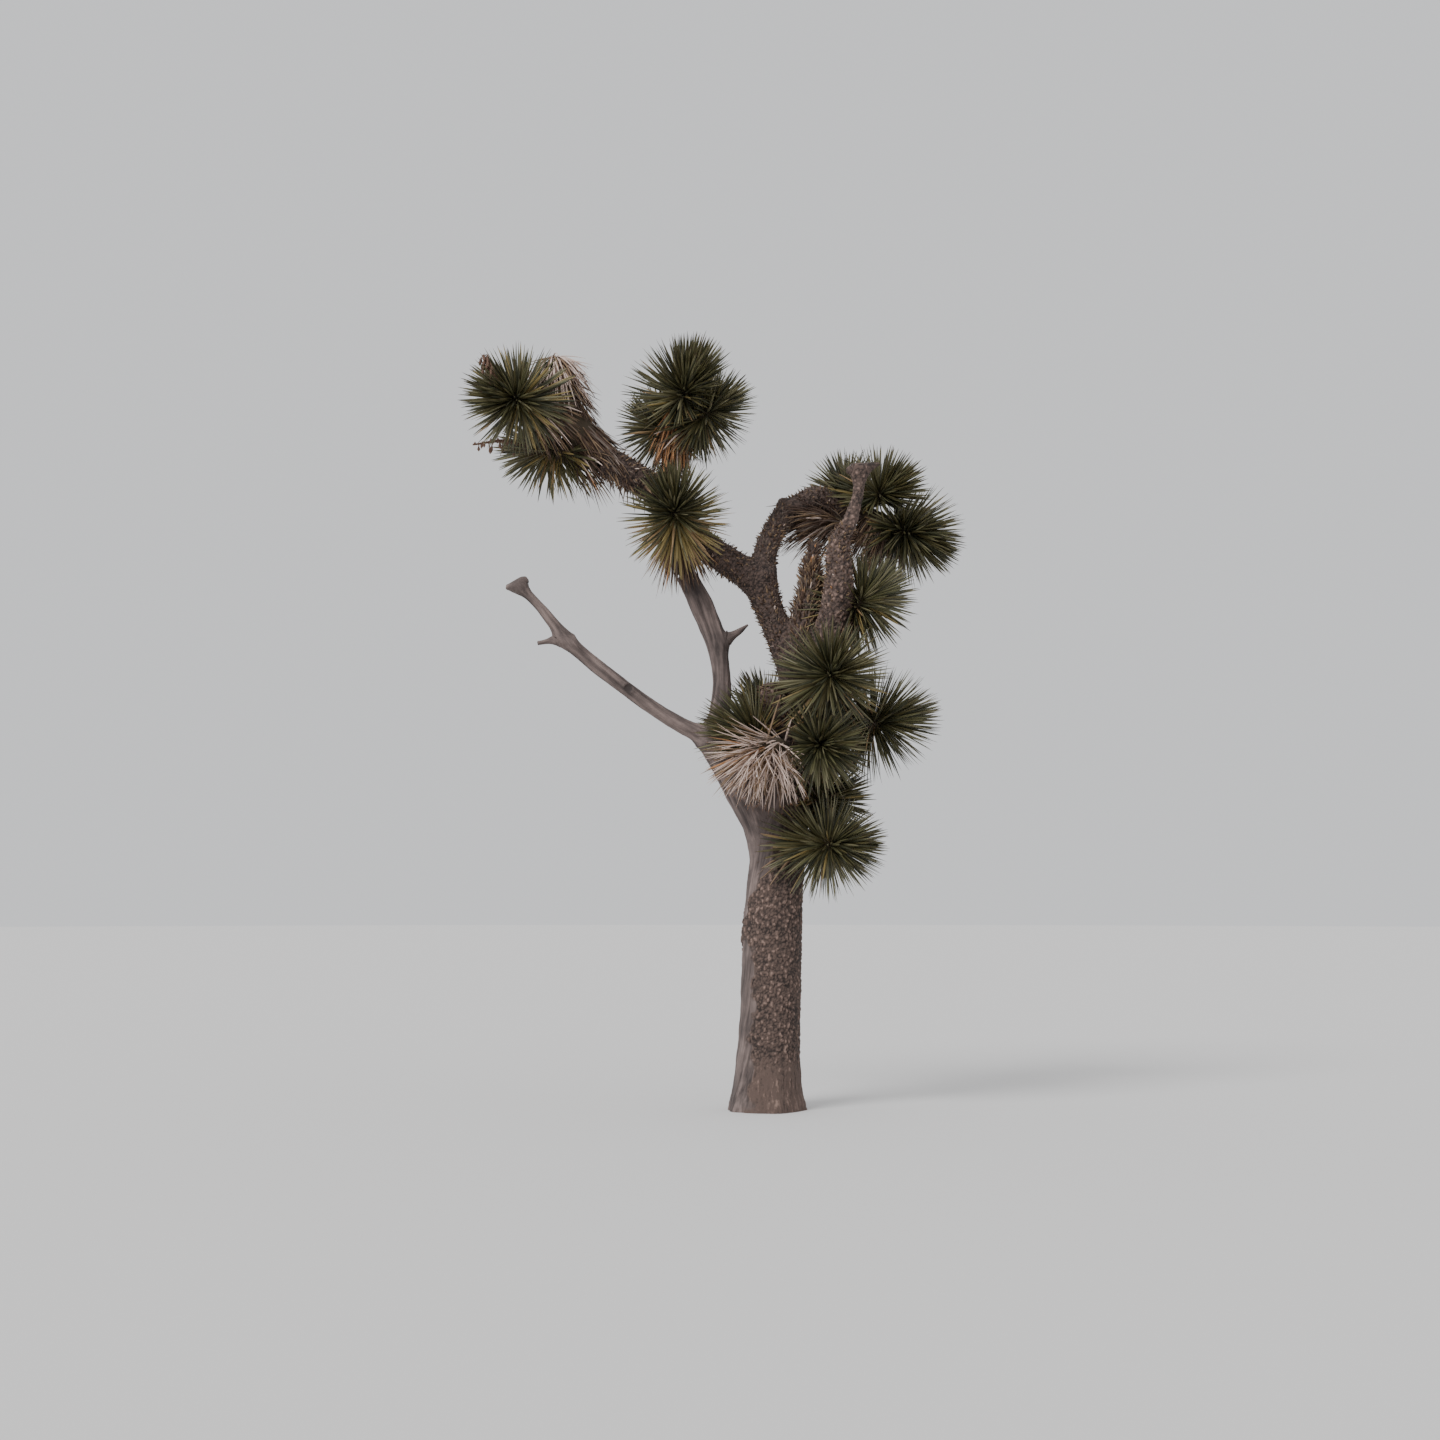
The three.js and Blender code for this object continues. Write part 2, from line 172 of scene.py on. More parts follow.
# Limbs from the ground up, as stations (x, y, z, radius) along each centre line.
LIMBS = {
    "trunk": [
        (-0.012, 0, -0.06, 0.262),
        (-0.005, 0, 0.165, 0.226),
        (0.01, 0, 0.465, 0.206),
        (0.03, 0, 1, 0.2),
        (0.055, 0, 1.54, 0.19),
        (0.11, 0, 1.98, 0.178),
        (0.17, 0.01, 2.3, 0.158),
        (0.225, 0.02, 2.56, 0.138),
    ],
    "bare_bough": [
        (0.085, 0, 1.7, 0.1),
        (0.025, -0.01, 1.825, 0.138),
        (-0.17, -0.03, 2.17, 0.128),
        (-0.34, -0.05, 2.42, 0.1),
        (-0.45, -0.065, 2.52, 0.07),
        (-0.61, -0.09, 2.605, 0.057),
        (-0.97, -0.16, 2.845, 0.053),
        (-1.31, -0.23, 3.12, 0.052),
        (-1.53, -0.28, 3.375, 0.034),
        (-1.675, -0.31, 3.52, 0.04),
    ],
    "bare_bough_spur": [
        (-1.745, -0.32, 3.5, 0.012),
        (-1.675, -0.31, 3.512, 0.03),
        (-1.615, -0.3, 3.555, 0.012),
    ],
    "bare_bough_stub": [
        (-1.325, -0.232, 3.138, 0.024),
        (-1.445, -0.26, 3.14, 0.02),
        (-1.54, -0.29, 3.122, 0.017),
    ],
    "grey_bough": [
        (-0.35, -0.052, 2.46, 0.088),
        (-0.305, -0.04, 2.765, 0.074),
        (-0.305, -0.03, 2.955, 0.066),
        (-0.342, -0.02, 3.165, 0.077),
        (-0.418, -0.03, 3.365, 0.088),
        (-0.475, -0.04, 3.49, 0.084),
        (-0.555, -0.05, 3.63, 0.074),
    ],
    "grey_bough_stub": [
        (-0.31, -0.02, 3.15, 0.026),
        (-0.195, -0.04, 3.225, 0.026),
        (-0.12, -0.05, 3.28, 0.009),
    ],
    "leader": [
        (0.232, 0.022, 2.54, 0.112),
        (0.22, 0.01, 2.835, 0.098),
        (0.105, 0.01, 3.18, 0.086),
        (0.015, 0.02, 3.42, 0.092),
        (-0.045, 0.03, 3.62, 0.1),
    ],
    "left_bough": [
        (-0.06, 0.03, 3.6, 0.092),
        (-0.23, -0.01, 3.705, 0.093),
        (-0.415, -0.07, 3.825, 0.086),
        (-0.59, -0.15, 4, 0.082),
        (-0.755, -0.23, 4.18, 0.088),
        (-0.93, -0.3, 4.275, 0.092),
        (-1.095, -0.35, 4.365, 0.092),
    ],
    "arch_rise": [
        (-0.03, 0.035, 3.64, 0.078),
        (0.02, 0.13, 3.86, 0.072),
        (0.09, 0.23, 4.015, 0.07),
        (0.175, 0.32, 4.15, 0.076),
    ],
    "arch_crown": [
        (0.17, 0.32, 4.135, 0.07),
        (0.365, 0.4, 4.235, 0.084),
        (0.54, 0.44, 4.19, 0.078),
        (0.7, 0.45, 4.155, 0.066),
    ],
    "broken_limb": [
        (0.27, -0.04, 2.56, 0.1),
        (0.4, -0.18, 3.06, 0.102),
        (0.49, -0.26, 3.525, 0.09),
        (0.488, -0.275, 3.775, 0.07),
        (0.57, -0.285, 3.97, 0.045),
        (0.617, -0.29, 4.13, 0.034),
        (0.635, -0.29, 4.315, 0.04),
    ],
    "broken_limb_spur": [
        (0.545, -0.29, 4.3, 0.014),
        (0.64, -0.29, 4.305, 0.028),
        (0.765, -0.29, 4.345, 0.011),
    ],
    "shaggy_limb": [
        (0.235, -0.02, 2.58, 0.1),
        (0.25, -0.03, 3.075, 0.108),
        (0.275, -0.01, 3.35, 0.088),
        (0.315, 0.01, 3.565, 0.066),
        (0.315, 0.03, 3.72, 0.038),
        (0.35, 0.07, 3.865, 0.034),
    ],
    "stump": [
        (0.15, -0.07, 2.47, 0.084),
        (0.075, -0.15, 2.7, 0.084),
        (0.042, -0.17, 2.815, 0.078),
        (0.035, -0.175, 2.862, 0.048),
    ],
}
WEATHERED = ("bare_bough", "bare_bough_spur", "bare_bough_stub", "grey_bough", "grey_bough_stub")
NUBBY_LIMBS = ("trunk", "stump", "broken_limb")
WOOD_PIECES = {
    "trunk_bark": ("trunk", "stump"),
    "limb_bark": (
        "leader", "left_bough", "arch_rise", "arch_crown", "broken_limb", "broken_limb_spur", "shaggy_limb",
    ),
    "weathered_boughs": WEATHERED,
}

# Heads as a habit and a stem through three stations (x, y, z, radius).
HEADS = {
    "left_thatch": (
        "thatch", [(-1.095, -0.35, 4.365, 0.09), (-1.32, -0.345, 4.63, 0.112), (-1.45, -0.33, 5.08, 0.075)],
    ),
    "left_front_head": (
        "tall", [(-1.235, -0.385, 4.54, 0.06), (-1.57, -0.55, 4.69, 0.064), (-1.715, -0.74, 4.7, 0.038)],
    ),
    "left_low_head": (
        "small", [(-1.13, -0.37, 4.345, 0.07), (-1.43, -0.27, 4.44, 0.072), (-1.62, -0.12, 4.475, 0.04)],
    ),
    "top_head": (
        "skirted", [(-0.668, -0.19, 4.13, 0.06), (-0.6, -0.22, 4.69, 0.068), (-0.52, -0.46, 4.89, 0.038)],
    ),
    "top_right_head": (
        "small", [(-0.6, -0.21, 4.55, 0.05), (-0.44, -0.26, 4.67, 0.056), (-0.33, -0.33, 4.75, 0.036)],
    ),
    "top_left_head": (
        "small", [(-0.62, -0.19, 4.53, 0.05), (-0.69, -0.05, 4.63, 0.056), (-0.75, 0.09, 4.72, 0.036)],
    ),
    "top_back_head": (
        "small", [(-0.605, -0.2, 4.6, 0.05), (-0.5, -0.02, 4.74, 0.056), (-0.43, 0.13, 4.87, 0.036)],
    ),
    "hanging_head": (
        "tall", [(-0.56, -0.052, 3.645, 0.062), (-0.595, -0.2, 3.89, 0.066), (-0.63, -0.46, 4.06, 0.04)],
    ),
    "arch_thatch": (
        "hanging", [(0.262, 0.355, 4.15, 0.05), (0.41, 0.34, 4.07, 0.06), (0.575, 0.37, 4.045, 0.05)],
    ),
    "arch_top_head": (
        "living", [(0.645, 0.44, 4.18, 0.055), (0.77, 0.41, 4.24, 0.06), (0.865, 0.3, 4.285, 0.036)],
    ),
    "arch_right_head": (
        "shaggy", [(0.7, 0.45, 4.14, 0.055), (0.92, 0.41, 4.04, 0.06), (1.085, 0.3, 3.945, 0.038)],
    ),
    "arch_back_head": (
        "small", [(0.615, 0.48, 4.19, 0.055), (0.6, 0.58, 4.28, 0.06), (0.6, 0.68, 4.37, 0.036)],
    ),
    "right_high_head": (
        "living", [(0.475, -0.2, 3.27, 0.05), (0.63, -0.09, 3.42, 0.056), (0.735, -0.01, 3.5, 0.036)],
    ),
    "front_head": (
        "broad", [(0.32, -0.14, 2.7, 0.06), (0.4, -0.31, 2.85, 0.064), (0.44, -0.48, 2.93, 0.038)],
    ),
    "right_head": (
        "broad", [(0.3, 0.015, 2.56, 0.06), (0.65, 0.03, 2.6, 0.064), (0.87, 0, 2.64, 0.038)],
    ),
    "centre_head": (
        "living", [(0.235, -0.08, 2.44, 0.06), (0.33, -0.3, 2.44, 0.064), (0.375, -0.43, 2.43, 0.038)],
    ),
    "left_head": (
        "broad", [(0.14, -0.06, 2.4, 0.055), (-0.01, -0.13, 2.49, 0.062), (-0.14, -0.2, 2.53, 0.038)],
    ),
    "straw_skirt": (
        "straw", [(0.15, -0.1, 2.33, 0.06), (0.06, -0.33, 2.42, 0.066), (-0.13, -0.42, 2.36, 0.05)],
    ),
    "behind_head": (
        "small", [(0.165, 0.095, 2.47, 0.055), (0.05, 0.18, 2.63, 0.06), (-0.03, 0.22, 2.765, 0.036)],
    ),
    "far_head": (
        "living", [(0.265, 0.08, 2.56, 0.06), (0.37, 0.32, 2.71, 0.062), (0.405, 0.48, 2.815, 0.036)],
    ),
    "low_right_head": (
        "living", [(0.22, 0, 2.07, 0.06), (0.35, 0.06, 2.085, 0.062), (0.43, 0.13, 2.1, 0.038)],
    ),
    "low_head": (
        "living", [(0.16, -0.09, 1.775, 0.06), (0.36, -0.2, 1.775, 0.066), (0.51, -0.28, 1.775, 0.038)],
    ),
}


class Habit(NamedTuple):
    """How the leaves of one kind of head stand."""

    bare: float  # share of the stem that has no leaves, from its root
    low: float  # angle between the lowest leaf and the stem, in degrees
    high: float  # and between the highest and the stem
    scatter: float  # of these angles
    curve: float  # above 1, leaves fold back from nearer the tip
    length: float  # times the usual leaf
    count: int
    dead: float  # share of the leaves that is dead, from the lowest up
    hang: float  # what pulls dead leaves down, as a share of their own direction
    pull: tuple = (0, 0, 0)  # what pulls every leaf aside


HABITS = {
    "living": Habit(0.1, 152, 5, 6, 1.6, 1, 560, 0.18, 0.5),
    "broad": Habit(0.25, 155, 5, 6, 1.4, 1.12, 560, 0.18, 0.5),
    "tall": Habit(0.4, 165, 5, 6, 1.1, 1, 560, 0.25, 0.3),
    "skirted": Habit(0.42, 165, 5, 6, 1, 1.06, 700, 0.36, 1.5),
    "shaggy": Habit(0.06, 155, 5, 6, 1.4, 1.12, 760, 0.4, 1.4),
    "small": Habit(0.12, 146, 5, 6, 1.6, 0.88, 390, 0.13, 0.3),
    "thatch": Habit(0.02, 172, 102, 7, 3.5, 0.72, 1100, 1, 0),
    "hanging": Habit(0.02, 165, 110, 12, 1.6, 0.9, 420, 1, 0.4, (-0.3, 0, 0)),
    "straw": Habit(0.1, 140, 60, 60, 1.6, 1.05, 480, 1, 0.6, (-0.6, -0.2, 0)),
}
LEAF_GROUPS = {
    "left": ("left_front_head", "left_low_head"),
    "top": ("top_head", "top_right_head", "top_left_head", "top_back_head", "hanging_head"),
    "arch": ("arch_top_head", "arch_right_head", "arch_back_head", "right_high_head"),
    "fork": ("front_head", "right_head", "centre_head", "left_head", "behind_head", "far_head"),
    "low": ("low_right_head", "low_head"),
}
SKIRT_GROUPS = {
    "left": ("left_thatch", *LEAF_GROUPS["left"]),
    "top": LEAF_GROUPS["top"],
    "arch": ("arch_thatch", *LEAF_GROUPS["arch"]),
    "fork": (*LEAF_GROUPS["fork"], *LEAF_GROUPS["low"]),
}

LIVING_TONES = ("shade_green", "olive_green", "dull_green", "grey_green", "old_yellow", "faded_tan")
GREEN_SHARES = (0.26, 0.3, 0.27, 0.17, 0, 0)
FADED_SHARES = (0, 0, 0, 0, 0.72, 0.28)
# Of a head's lowest living leaves, the share that is fading. Above 1, leaves further up fade too.
FADING = {"hanging_head": 1.2, "left_head": 1.4, "left_front_head": 0.4, "left_low_head": 0.4}
USUAL_FADING = 0.22
DEAD_TONES = ("dry_tan", "dry_grey", "dry_brown", "dry_rust", "pale_straw")
DEAD_SHARES = {
    "living": (0.32, 0.22, 0.38, 0.05, 0.03),
    "broad": (0.36, 0.2, 0.4, 0.02, 0.02),
    "tall": (0.38, 0.14, 0.4, 0.04, 0.04),
    "skirted": (0.2, 0.02, 0.14, 0.6, 0.04),
    "shaggy": (0.34, 0.16, 0.46, 0.02, 0.02),
    "small": (0.32, 0.22, 0.38, 0.05, 0.03),
    "thatch": (0.28, 0.34, 0.35, 0, 0.03),
    # The hanging thatch under the arch takes a larger share of dry brown, which is painted shade.
    "hanging": (0.32, 0.24, 0.42, 0, 0.02),
    "straw": (0.22, 0.04, 0.06, 0.02, 0.66),
}
DOME_SHARE = 0.82  # thatch above this share of its stem is bleached
DOME_SAG = 0.6  # and bends down this far, as a share of length
DOME_SHARES = (0.16, 0.04, 0.02, 0, 0.78)
STUB_SHARES = (0.32, 0.26, 0.4, 0.01, 0.01)

# Old leaf stubs on limbs and on a head's long stem: from and to which share of it, how many, their
# length, the angle between stub and limb in degrees, and whether they stand only on its underside.
STUBS = (
    ("shaggy_limb", 0.16, 0.8, 900, 0.055, 38, False),
    ("shaggy_limb", 0.8, 1, 60, 0.03, 60, False),
    ("leader", 0.1, 1, 560, 0.026, 58, False),
    ("left_bough", 0, 1, 800, 0.03, 110, False),
    ("left_bough", 0.3, 0.8, 46, 0.085, 112, True),
    ("left_bough", 0.78, 1, 46, 0.13, 128, True),
    ("arch_rise", 0, 1, 380, 0.024, 66, False),
    ("arch_crown", 0, 0.85, 380, 0.026, 100, False),
    ("broken_limb", 0.1, 0.62, 480, 0.024, 70, False),
    ("stump", 0.2, 0.9, 160, 0.03, 60, False),
    ("top_head", 0, 0.45, 300, 0.036, 118, False),
)
STUB_ROOT = 0.004  # how deep a stub's root sits in its limb
BARK_COVER = 0.012  # how much of a stub the bark hides
STUB_SCATTER = (0.2, 0.25)  # of a stub's place round its limb and of its lean, in radians
STUB_SPREAD = (0.6, 1.25)  # stubs' lengths and widths, as shares of the usual
STUB_WIDTH_SPREAD = (0.7, 1.2)
STUB_SAG = 0.08
STUB_CLEARANCE = 0.001  # how far outside the limbs a stub's end has to be
UNDERSIDE = -0.35  # stubs on an underside point down at least this steeply

# Old flower stalks, each as the stations of its line and the number of twigs along it.
STALKS = (
    ([(-1.7, -0.72, 4.695, 0.022), (-1.8, -0.815, 4.83, 0.017), (-1.86, -0.84, 4.95, 0.008)], 48),
    ([(-1.57, -0.16, 4.468, 0.022), (-1.76, -0.34, 4.49, 0.013), (-1.96, -0.5, 4.43, 0.006)], 16),
)
TWIG_LENGTH = 0.055
TWIG_KNEE = 0.5  # how far out a twig bends down, as a share of its length
TWIG_OUT = 0.6  # and how far out and down its pod hangs
TWIG_DOWN = 0.5
POD_LENGTH = 0.6  # as a share of the way from the knee
TWIG_SPREAD = (0.5, 1.2)
TWIG_START = 0.25  # the share of a stalk below its first twig
TWIG_GIRTHS = (0.0035, 0.003, 0.011, 0.003)  # at its root, its knee, in its pod and at the pod's end


def linear(red, green, blue):
    """A colour read as 0 to 255 on screen, as the linear colour that shaders take."""
    return tuple(((c / 255 + 0.055) / 1.055) ** 2.4 if c > 10 else c / 3295 for c in (red, green, blue))


def length_property(name, description, default):
    return FloatProperty(name=name, description=description, default=default, min=0, unit="LENGTH")


def number_property(name, description, default):
    return FloatProperty(name=name, description=description, default=default)


def colour_property(name, description, default):
    return FloatVectorProperty(
        name=name, description=description, default=default, size=3, min=0, max=1, subtype="COLOR"
    )


class WoodSettings(bpy.types.PropertyGroup):
    """Sizes and colours of the trunk and boughs"""

    mesh_size: length_property("Mesh size", "Spacing of the points on the wood's surface", 0.0075)
    fork_blend: length_property("Fork blend", "How far limbs flow into each other where they meet", 0.09)
    scale_size: length_property("Bark scale", "Width of the scales between cracks in the bark", 0.021)
    nub_spacing: length_property("Nub spacing", "Between the pale nubs on the trunk", 0.028)
    bark_relief: length_property("Bark relief", "How far nubs stand out of the cracks", 0.011)
    bark_thickness: length_property("Bark thickness", "How deep bare wood lies under the bark", 0.01)
    grain_width: length_property("Grain width", "Width of the ridges of weathered grain", 0.03)
    grain_depth: length_property("Grain depth", "Depth of the grooves of weathered grain", 0.006)
    bark_dark: colour_property("Bark cracks", "Colour between the bark scales", linear(42, 34, 31))
    bark_mid: colour_property("Bark", "Colour of the bark's body", linear(90, 74, 67))
    bark_pale: colour_property("Bark nubs", "Colour of the tops of bark nubs", linear(142, 118, 107))
    wood_dark: colour_property("Grain grooves", "Colour in the grooves of bare wood", linear(56, 47, 45))
    wood_mid: colour_property("Bare wood", "Colour of weathered wood", linear(98, 85, 81))
    wood_pale: colour_property("Bare ridges", "Colour of the ridges of bare wood", linear(142, 124, 118))


class LeafSettings(bpy.types.PropertyGroup):
    """Sizes and colours of the living leaves"""

    length: length_property("Leaf length", "Length of the longest leaves", 0.37)
    width: length_property("Leaf width", "Width of a leaf at its widest", 0.0195)
    keel: number_property("Keel", "Thickness of a leaf as a share of its width", 0.36)
    bend: number_property("Bend", "How unevenly leaves bend, as a share of length", 0.03)
    root_sunk: length_property("Root depth", "How deep a leaf's root sits in its stem", 0.012)
    shade_green: colour_property("Shade green", "Darkest of the leaf greens", linear(60, 61, 42))
    olive_green: colour_property("Olive green", "Warmest of the leaf greens", linear(86, 80, 50))
    dull_green: colour_property("Dull green", "Commonest of the leaf greens", linear(94, 92, 62))
    grey_green: colour_property("Grey green", "Palest of the leaf greens", linear(120, 115, 86))
    old_yellow: colour_property("Old yellow", "Lower leaves that are fading", linear(148, 130, 82))
    faded_tan: colour_property("Faded tan", "Leaves that have almost died", linear(158, 130, 94))
    tip_brown: colour_property("Leaf tip", "Spine at the end of a leaf", linear(70, 48, 36))
    leaf_foot: colour_property("Leaf foot", "Foot of a leaf, out of the light", linear(104, 96, 64))


class DeadLeafSettings(bpy.types.PropertyGroup):
    """Sizes and colours of dead leaves, straw, stubs and stalks"""

    width: length_property("Width", "Width of a dead leaf at its widest", 0.0165)
    straw_width: length_property("Straw width", "Width of a strand in the straw bundle", 0.015)
    stub_width: length_property("Stub width", "Width of an old leaf stub", 0.016)
    sag: number_property("Sag", "How far a dead leaf bends down, as a share of length", 0.16)
    straw_sag: number_property("Straw sag", "How far a strand bends down, as a share of length", 0.05)
    dry_tan: colour_property("Dry tan", "Commonest colour of dead leaves", linear(134, 110, 86))
    dry_grey: colour_property("Dry grey", "Oldest dead leaves", linear(108, 94, 84))
    dry_brown: colour_property("Dry brown", "Dead leaves in the shade", linear(82, 62, 50))
    dry_rust: colour_property("Rust", "Dead leaves of the topmost skirt", linear(188, 136, 92))
    pale_straw: colour_property("Pale straw", "Bleached leaves", linear(214, 192, 180))
    under_leaves: colour_property("Stem", "Stems under the leaves", linear(66, 56, 42))
    stalk: colour_property("Flower stalk", "Old flower stalks", linear(104, 78, 64))


class StageSettings(bpy.types.PropertyGroup):
    """Floor, light and camera"""

    floor_radius: length_property("Floor radius", "Radius of the plain floor", 90)
    floor_colour: colour_property("Floor", "Colour of the floor", (0.7, 0.69, 0.68))
    sky_colour: colour_property("Surroundings", "Colour of the light from all round", (0.87, 0.88, 0.9))
    sky_strength: number_property("Sky", "Strength of the light from all round", 0.95)
    sun_strength: number_property("Sun", "Strength of the soft light from one side", 2.3)
    sun_softness: number_property("Softness", "How wide the soft light looks from the tree, in degrees", 25)
    eye_height: length_property("Eye height", "Height of the camera above the ground", 1.43)
    distance: length_property("Distance", "From the camera to the trunk", 14)
    pitch: number_property("Pitch", "How far the camera looks up, in degrees", 4.9)
    lens: FloatProperty(name="Lens", description="Focal length in millimetres", default=51.4, unit="CAMERA")


def centre_line(points, shares):
    """Places at these shares of a centripetal Catmull-Rom line through the points."""
    ends = [2 * points[0] - points[1], *points, 2 * points[-1] - points[-2]]
    line = []
    for share in shares:
        place = share * (len(points) - 1)
        span = min(int(place), len(points) - 2)
        a, b, c, d = ends[span : span + 4]
        before, within, after = (np.linalg.norm(q - p) ** 0.5 for p, q in ((a, b), (b, c), (c, d)))
        leave = ((b - a) / before - (c - a) / (before + within) + (c - b) / within) * within
        arrive = ((c - b) / within - (d - b) / (within + after) + (d - c) / after) * within
        line.append(hermite(b, c, leave, arrive, place - span))
    return np.array(line)


def hermite(start, end, leave, arrive, share):
    """The place at a share of the curve between two ends with these slopes."""
    square, cube = share**2, share**3
    from_start = (2 * cube - 3 * square + 1) * start + (cube - 2 * square + share) * leave
    return from_start + (3 * square - 2 * cube) * end + (cube - square) * arrive


def girth_along(radii, shares):
    """Radii at these shares, on a smooth curve through the stations' radii."""
    padded = [radii[0], *radii, radii[-1]]
    found = []
    for share in shares:
        place = share * (len(radii) - 1)
        span = min(int(place), len(radii) - 2)
        a, b, c, d = padded[span : span + 4]
        found.append(hermite(b, c, (c - a) / 2, (d - b) / 2, place - span))
    return np.array(found)


class Stem:
    """A limb or head as close stations, each with its radius and a frame square to the centre line."""

    def __init__(self, points, stations=None):
        points = np.array(points, float)
        spread = np.linalg.norm(np.diff(points[:, :3], axis=0), axis=1).sum()
        shares = np.linspace(0, 1, stations or int(spread / STATION_GAP) + 2)
        self.centre = centre_line(points[:, :3], shares)
        self.radius = girth_along(points[:, 3], shares)
        steps = np.gradient(self.centre, axis=0)
        gaps = np.linalg.norm(steps, axis=1)
        self.along = steps / gaps[:, None]
        self.flare = np.gradient(self.radius) / gaps
        self.travel = np.concatenate([[0], np.cumsum(np.linalg.norm(np.diff(self.centre, axis=0), axis=1))])
        self.side = self.carried_side()
        self.front = np.cross(self.side, self.along)

    def round_tip(self):
        """Draws the girth in to a dome at the tip."""
        left = np.minimum((self.travel[-1] - self.travel) / self.radius[-1], 1)
        self.radius = self.radius * np.maximum(np.sqrt(left * (2 - left)), BLUNT_TIP)

    def carried_side(self):
        """One direction square to each station's line, turned as little as it can be."""
        side = np.array([1.0, 0, 0])
        sides = []
        for along in self.along:
            side = side - along * side.dot(along)
            side = side / np.linalg.norm(side)
            sides.append(side)
        return np.array(sides)

    def nearest(self, places, chunk=20000):
        """The station nearest each place."""
        found = []
        for start in range(0, len(places), chunk):
            part = places[start : start + chunk]
            gaps = -2 * part @ self.centre.T + (self.centre**2).sum(1)
            found.append(gaps.argmin(1))
        return np.concatenate(found) if found else np.zeros(0, int)

    def outward(self, stations, turns):
        """Directions away from the centre line at these stations, by their turn round it."""
        return self.side[stations] * np.cos(turns)[:, None] + self.front[stations] * np.sin(turns)[:, None]

    def rows(self):
        """Its stations as (x, y, z, girth)."""
        return np.column_stack([self.centre, self.radius])


LIMB_STEMS = {name: Stem(points) for name, points in LIMBS.items()}
HEAD_STEMS = {name: Stem(points, HEAD_STATIONS) for name, (_, points) in HEADS.items()}
for head_stem in HEAD_STEMS.values():
    head_stem.round_tip()


def add(tree, kind, inputs=(), **settings):
    """A node of this kind, its inputs each a value or another node's output."""
    made = tree.nodes.new(kind)
    for name, value in settings.items():
        setattr(made, name, value)
    for key, value in dict(inputs).items():
        socket = next(s for s in made.inputs if s.enabled and key in (s.name, s.identifier))
        if isinstance(value, bpy.types.NodeSocket):
            tree.links.new(value, socket)
        else:
            socket.default_value = value
    return made


def maths(tree, operation, *values):
    """The result of a sum of values and other nodes' outputs."""
    node = tree.nodes.new("ShaderNodeMath")
    node.operation = operation
    for socket, value in zip(node.inputs, values):
        if isinstance(value, bpy.types.NodeSocket):
            tree.links.new(value, socket)
        else:
            socket.default_value = value
    return node.outputs["Value"]


def named(tree, name, kind="FLOAT"):
    """The value of a named attribute."""
    return add(tree, "GeometryNodeInputNamedAttribute", {"Name": name}, data_type=kind).outputs["Attribute"]


def new_tree(name, sockets):
    """An empty geometry tree with a geometry in and out and these named inputs, and its two ends."""
    tree = bpy.data.node_groups.new(name, "GeometryNodeTree")
    tree.interface.new_socket("Geometry", in_out="INPUT", socket_type="NodeSocketGeometry")
    tree.interface.new_socket("Geometry", in_out="OUTPUT", socket_type="NodeSocketGeometry")
    for socket_name, kind in sockets.items():
        tree.interface.new_socket(socket_name, in_out="INPUT", socket_type=kind)
    return tree, add(tree, "NodeGroupInput").outputs, add(tree, "NodeGroupOutput").inputs


def grown(name, seed_mesh, tree, values):
    """The plain object that a tree makes of a mesh, with the tree's named inputs set."""
    made = bpy.data.objects.new(name, seed_mesh)
    bpy.context.scene.collection.objects.link(made)
    modifier = made.modifiers.new("growth", "NODES")
    modifier.node_group = tree
    for socket in tree.interface.items_tree:
        if socket.in_out == "INPUT" and socket.name in values:
            modifier[socket.identifier] = values[socket.name]
    depsgraph = bpy.context.evaluated_depsgraph_get()
    mesh = bpy.data.meshes.new_from_object(made.evaluated_get(depsgraph), depsgraph=depsgraph)
    made.modifiers.remove(modifier)
    made.data = mesh
    mesh.name = name
    return made


def point_mesh(name, places, edges=(), **values):
    """A mesh of bare points, and edges if given, with these values on its points."""
    mesh = bpy.data.meshes.new(name)
    mesh.from_pydata([tuple(place) for place in places], list(edges), [])
    for key, column in values.items():
        store(mesh, key, column)
    return mesh


def store(mesh, name, values):
    """Writes a number, a whole number or a vector for each point under a name."""
    if values.ndim == 2:
        kind, field, number = "FLOAT_VECTOR", "vector", np.float32
    elif values.dtype.kind == "i":
        kind, field, number = "INT", "value", np.int32
    else:
        kind, field, number = "FLOAT", "value", np.float32
    layer = mesh.attributes.new(name, kind, "POINT")
    layer.data.foreach_set(field, values.ravel().astype(number))


def finish_piece(piece, nodes=()):
    """Puts a piece on the tree's one body, and hides the solids it stands for."""
    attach(piece, "root")
    if nodes:
        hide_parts(*nodes)


def tube_tree(material):
    """Turns lines into round tubes, as thick as their points' girth."""
    tree, given, result = new_tree("round tubes", {"Sides": "NodeSocketInt"})
    line = add(tree, "GeometryNodeMeshToCurve", {"Mesh": given["Geometry"]})
    ring = add(tree, "GeometryNodeCurvePrimitiveCircle", {"Resolution": given["Sides"], "Radius": 1})
    tube = add(
        tree,
        "GeometryNodeCurveToMesh",
        {
            "Curve": line.outputs["Curve"],
            "Profile Curve": ring.outputs["Curve"],
            "Scale": named(tree, "girth"),
            "Fill Caps": True,
        },
    )
    whole = add(tree, "GeometryNodeRealizeInstances", {"Geometry": tube.outputs["Mesh"]})
    dressed = {"Geometry": whole.outputs["Geometry"], "Material": material}
    made = add(tree, "GeometryNodeSetMaterial", dressed)
    tree.links.new(made.outputs["Geometry"], result["Geometry"])
    return tree


def lines_mesh(name, lines):
    """Lines of (x, y, z, girth) rows as one mesh of points and edges."""
    places = np.concatenate(lines)
    edges = []
    start = 0
    for line in lines:
        edges += [(k, k + 1) for k in range(start, start + len(line) - 1)]
        start += len(line)
    return point_mesh(name, places[:, :3], edges, girth=places[:, 3])


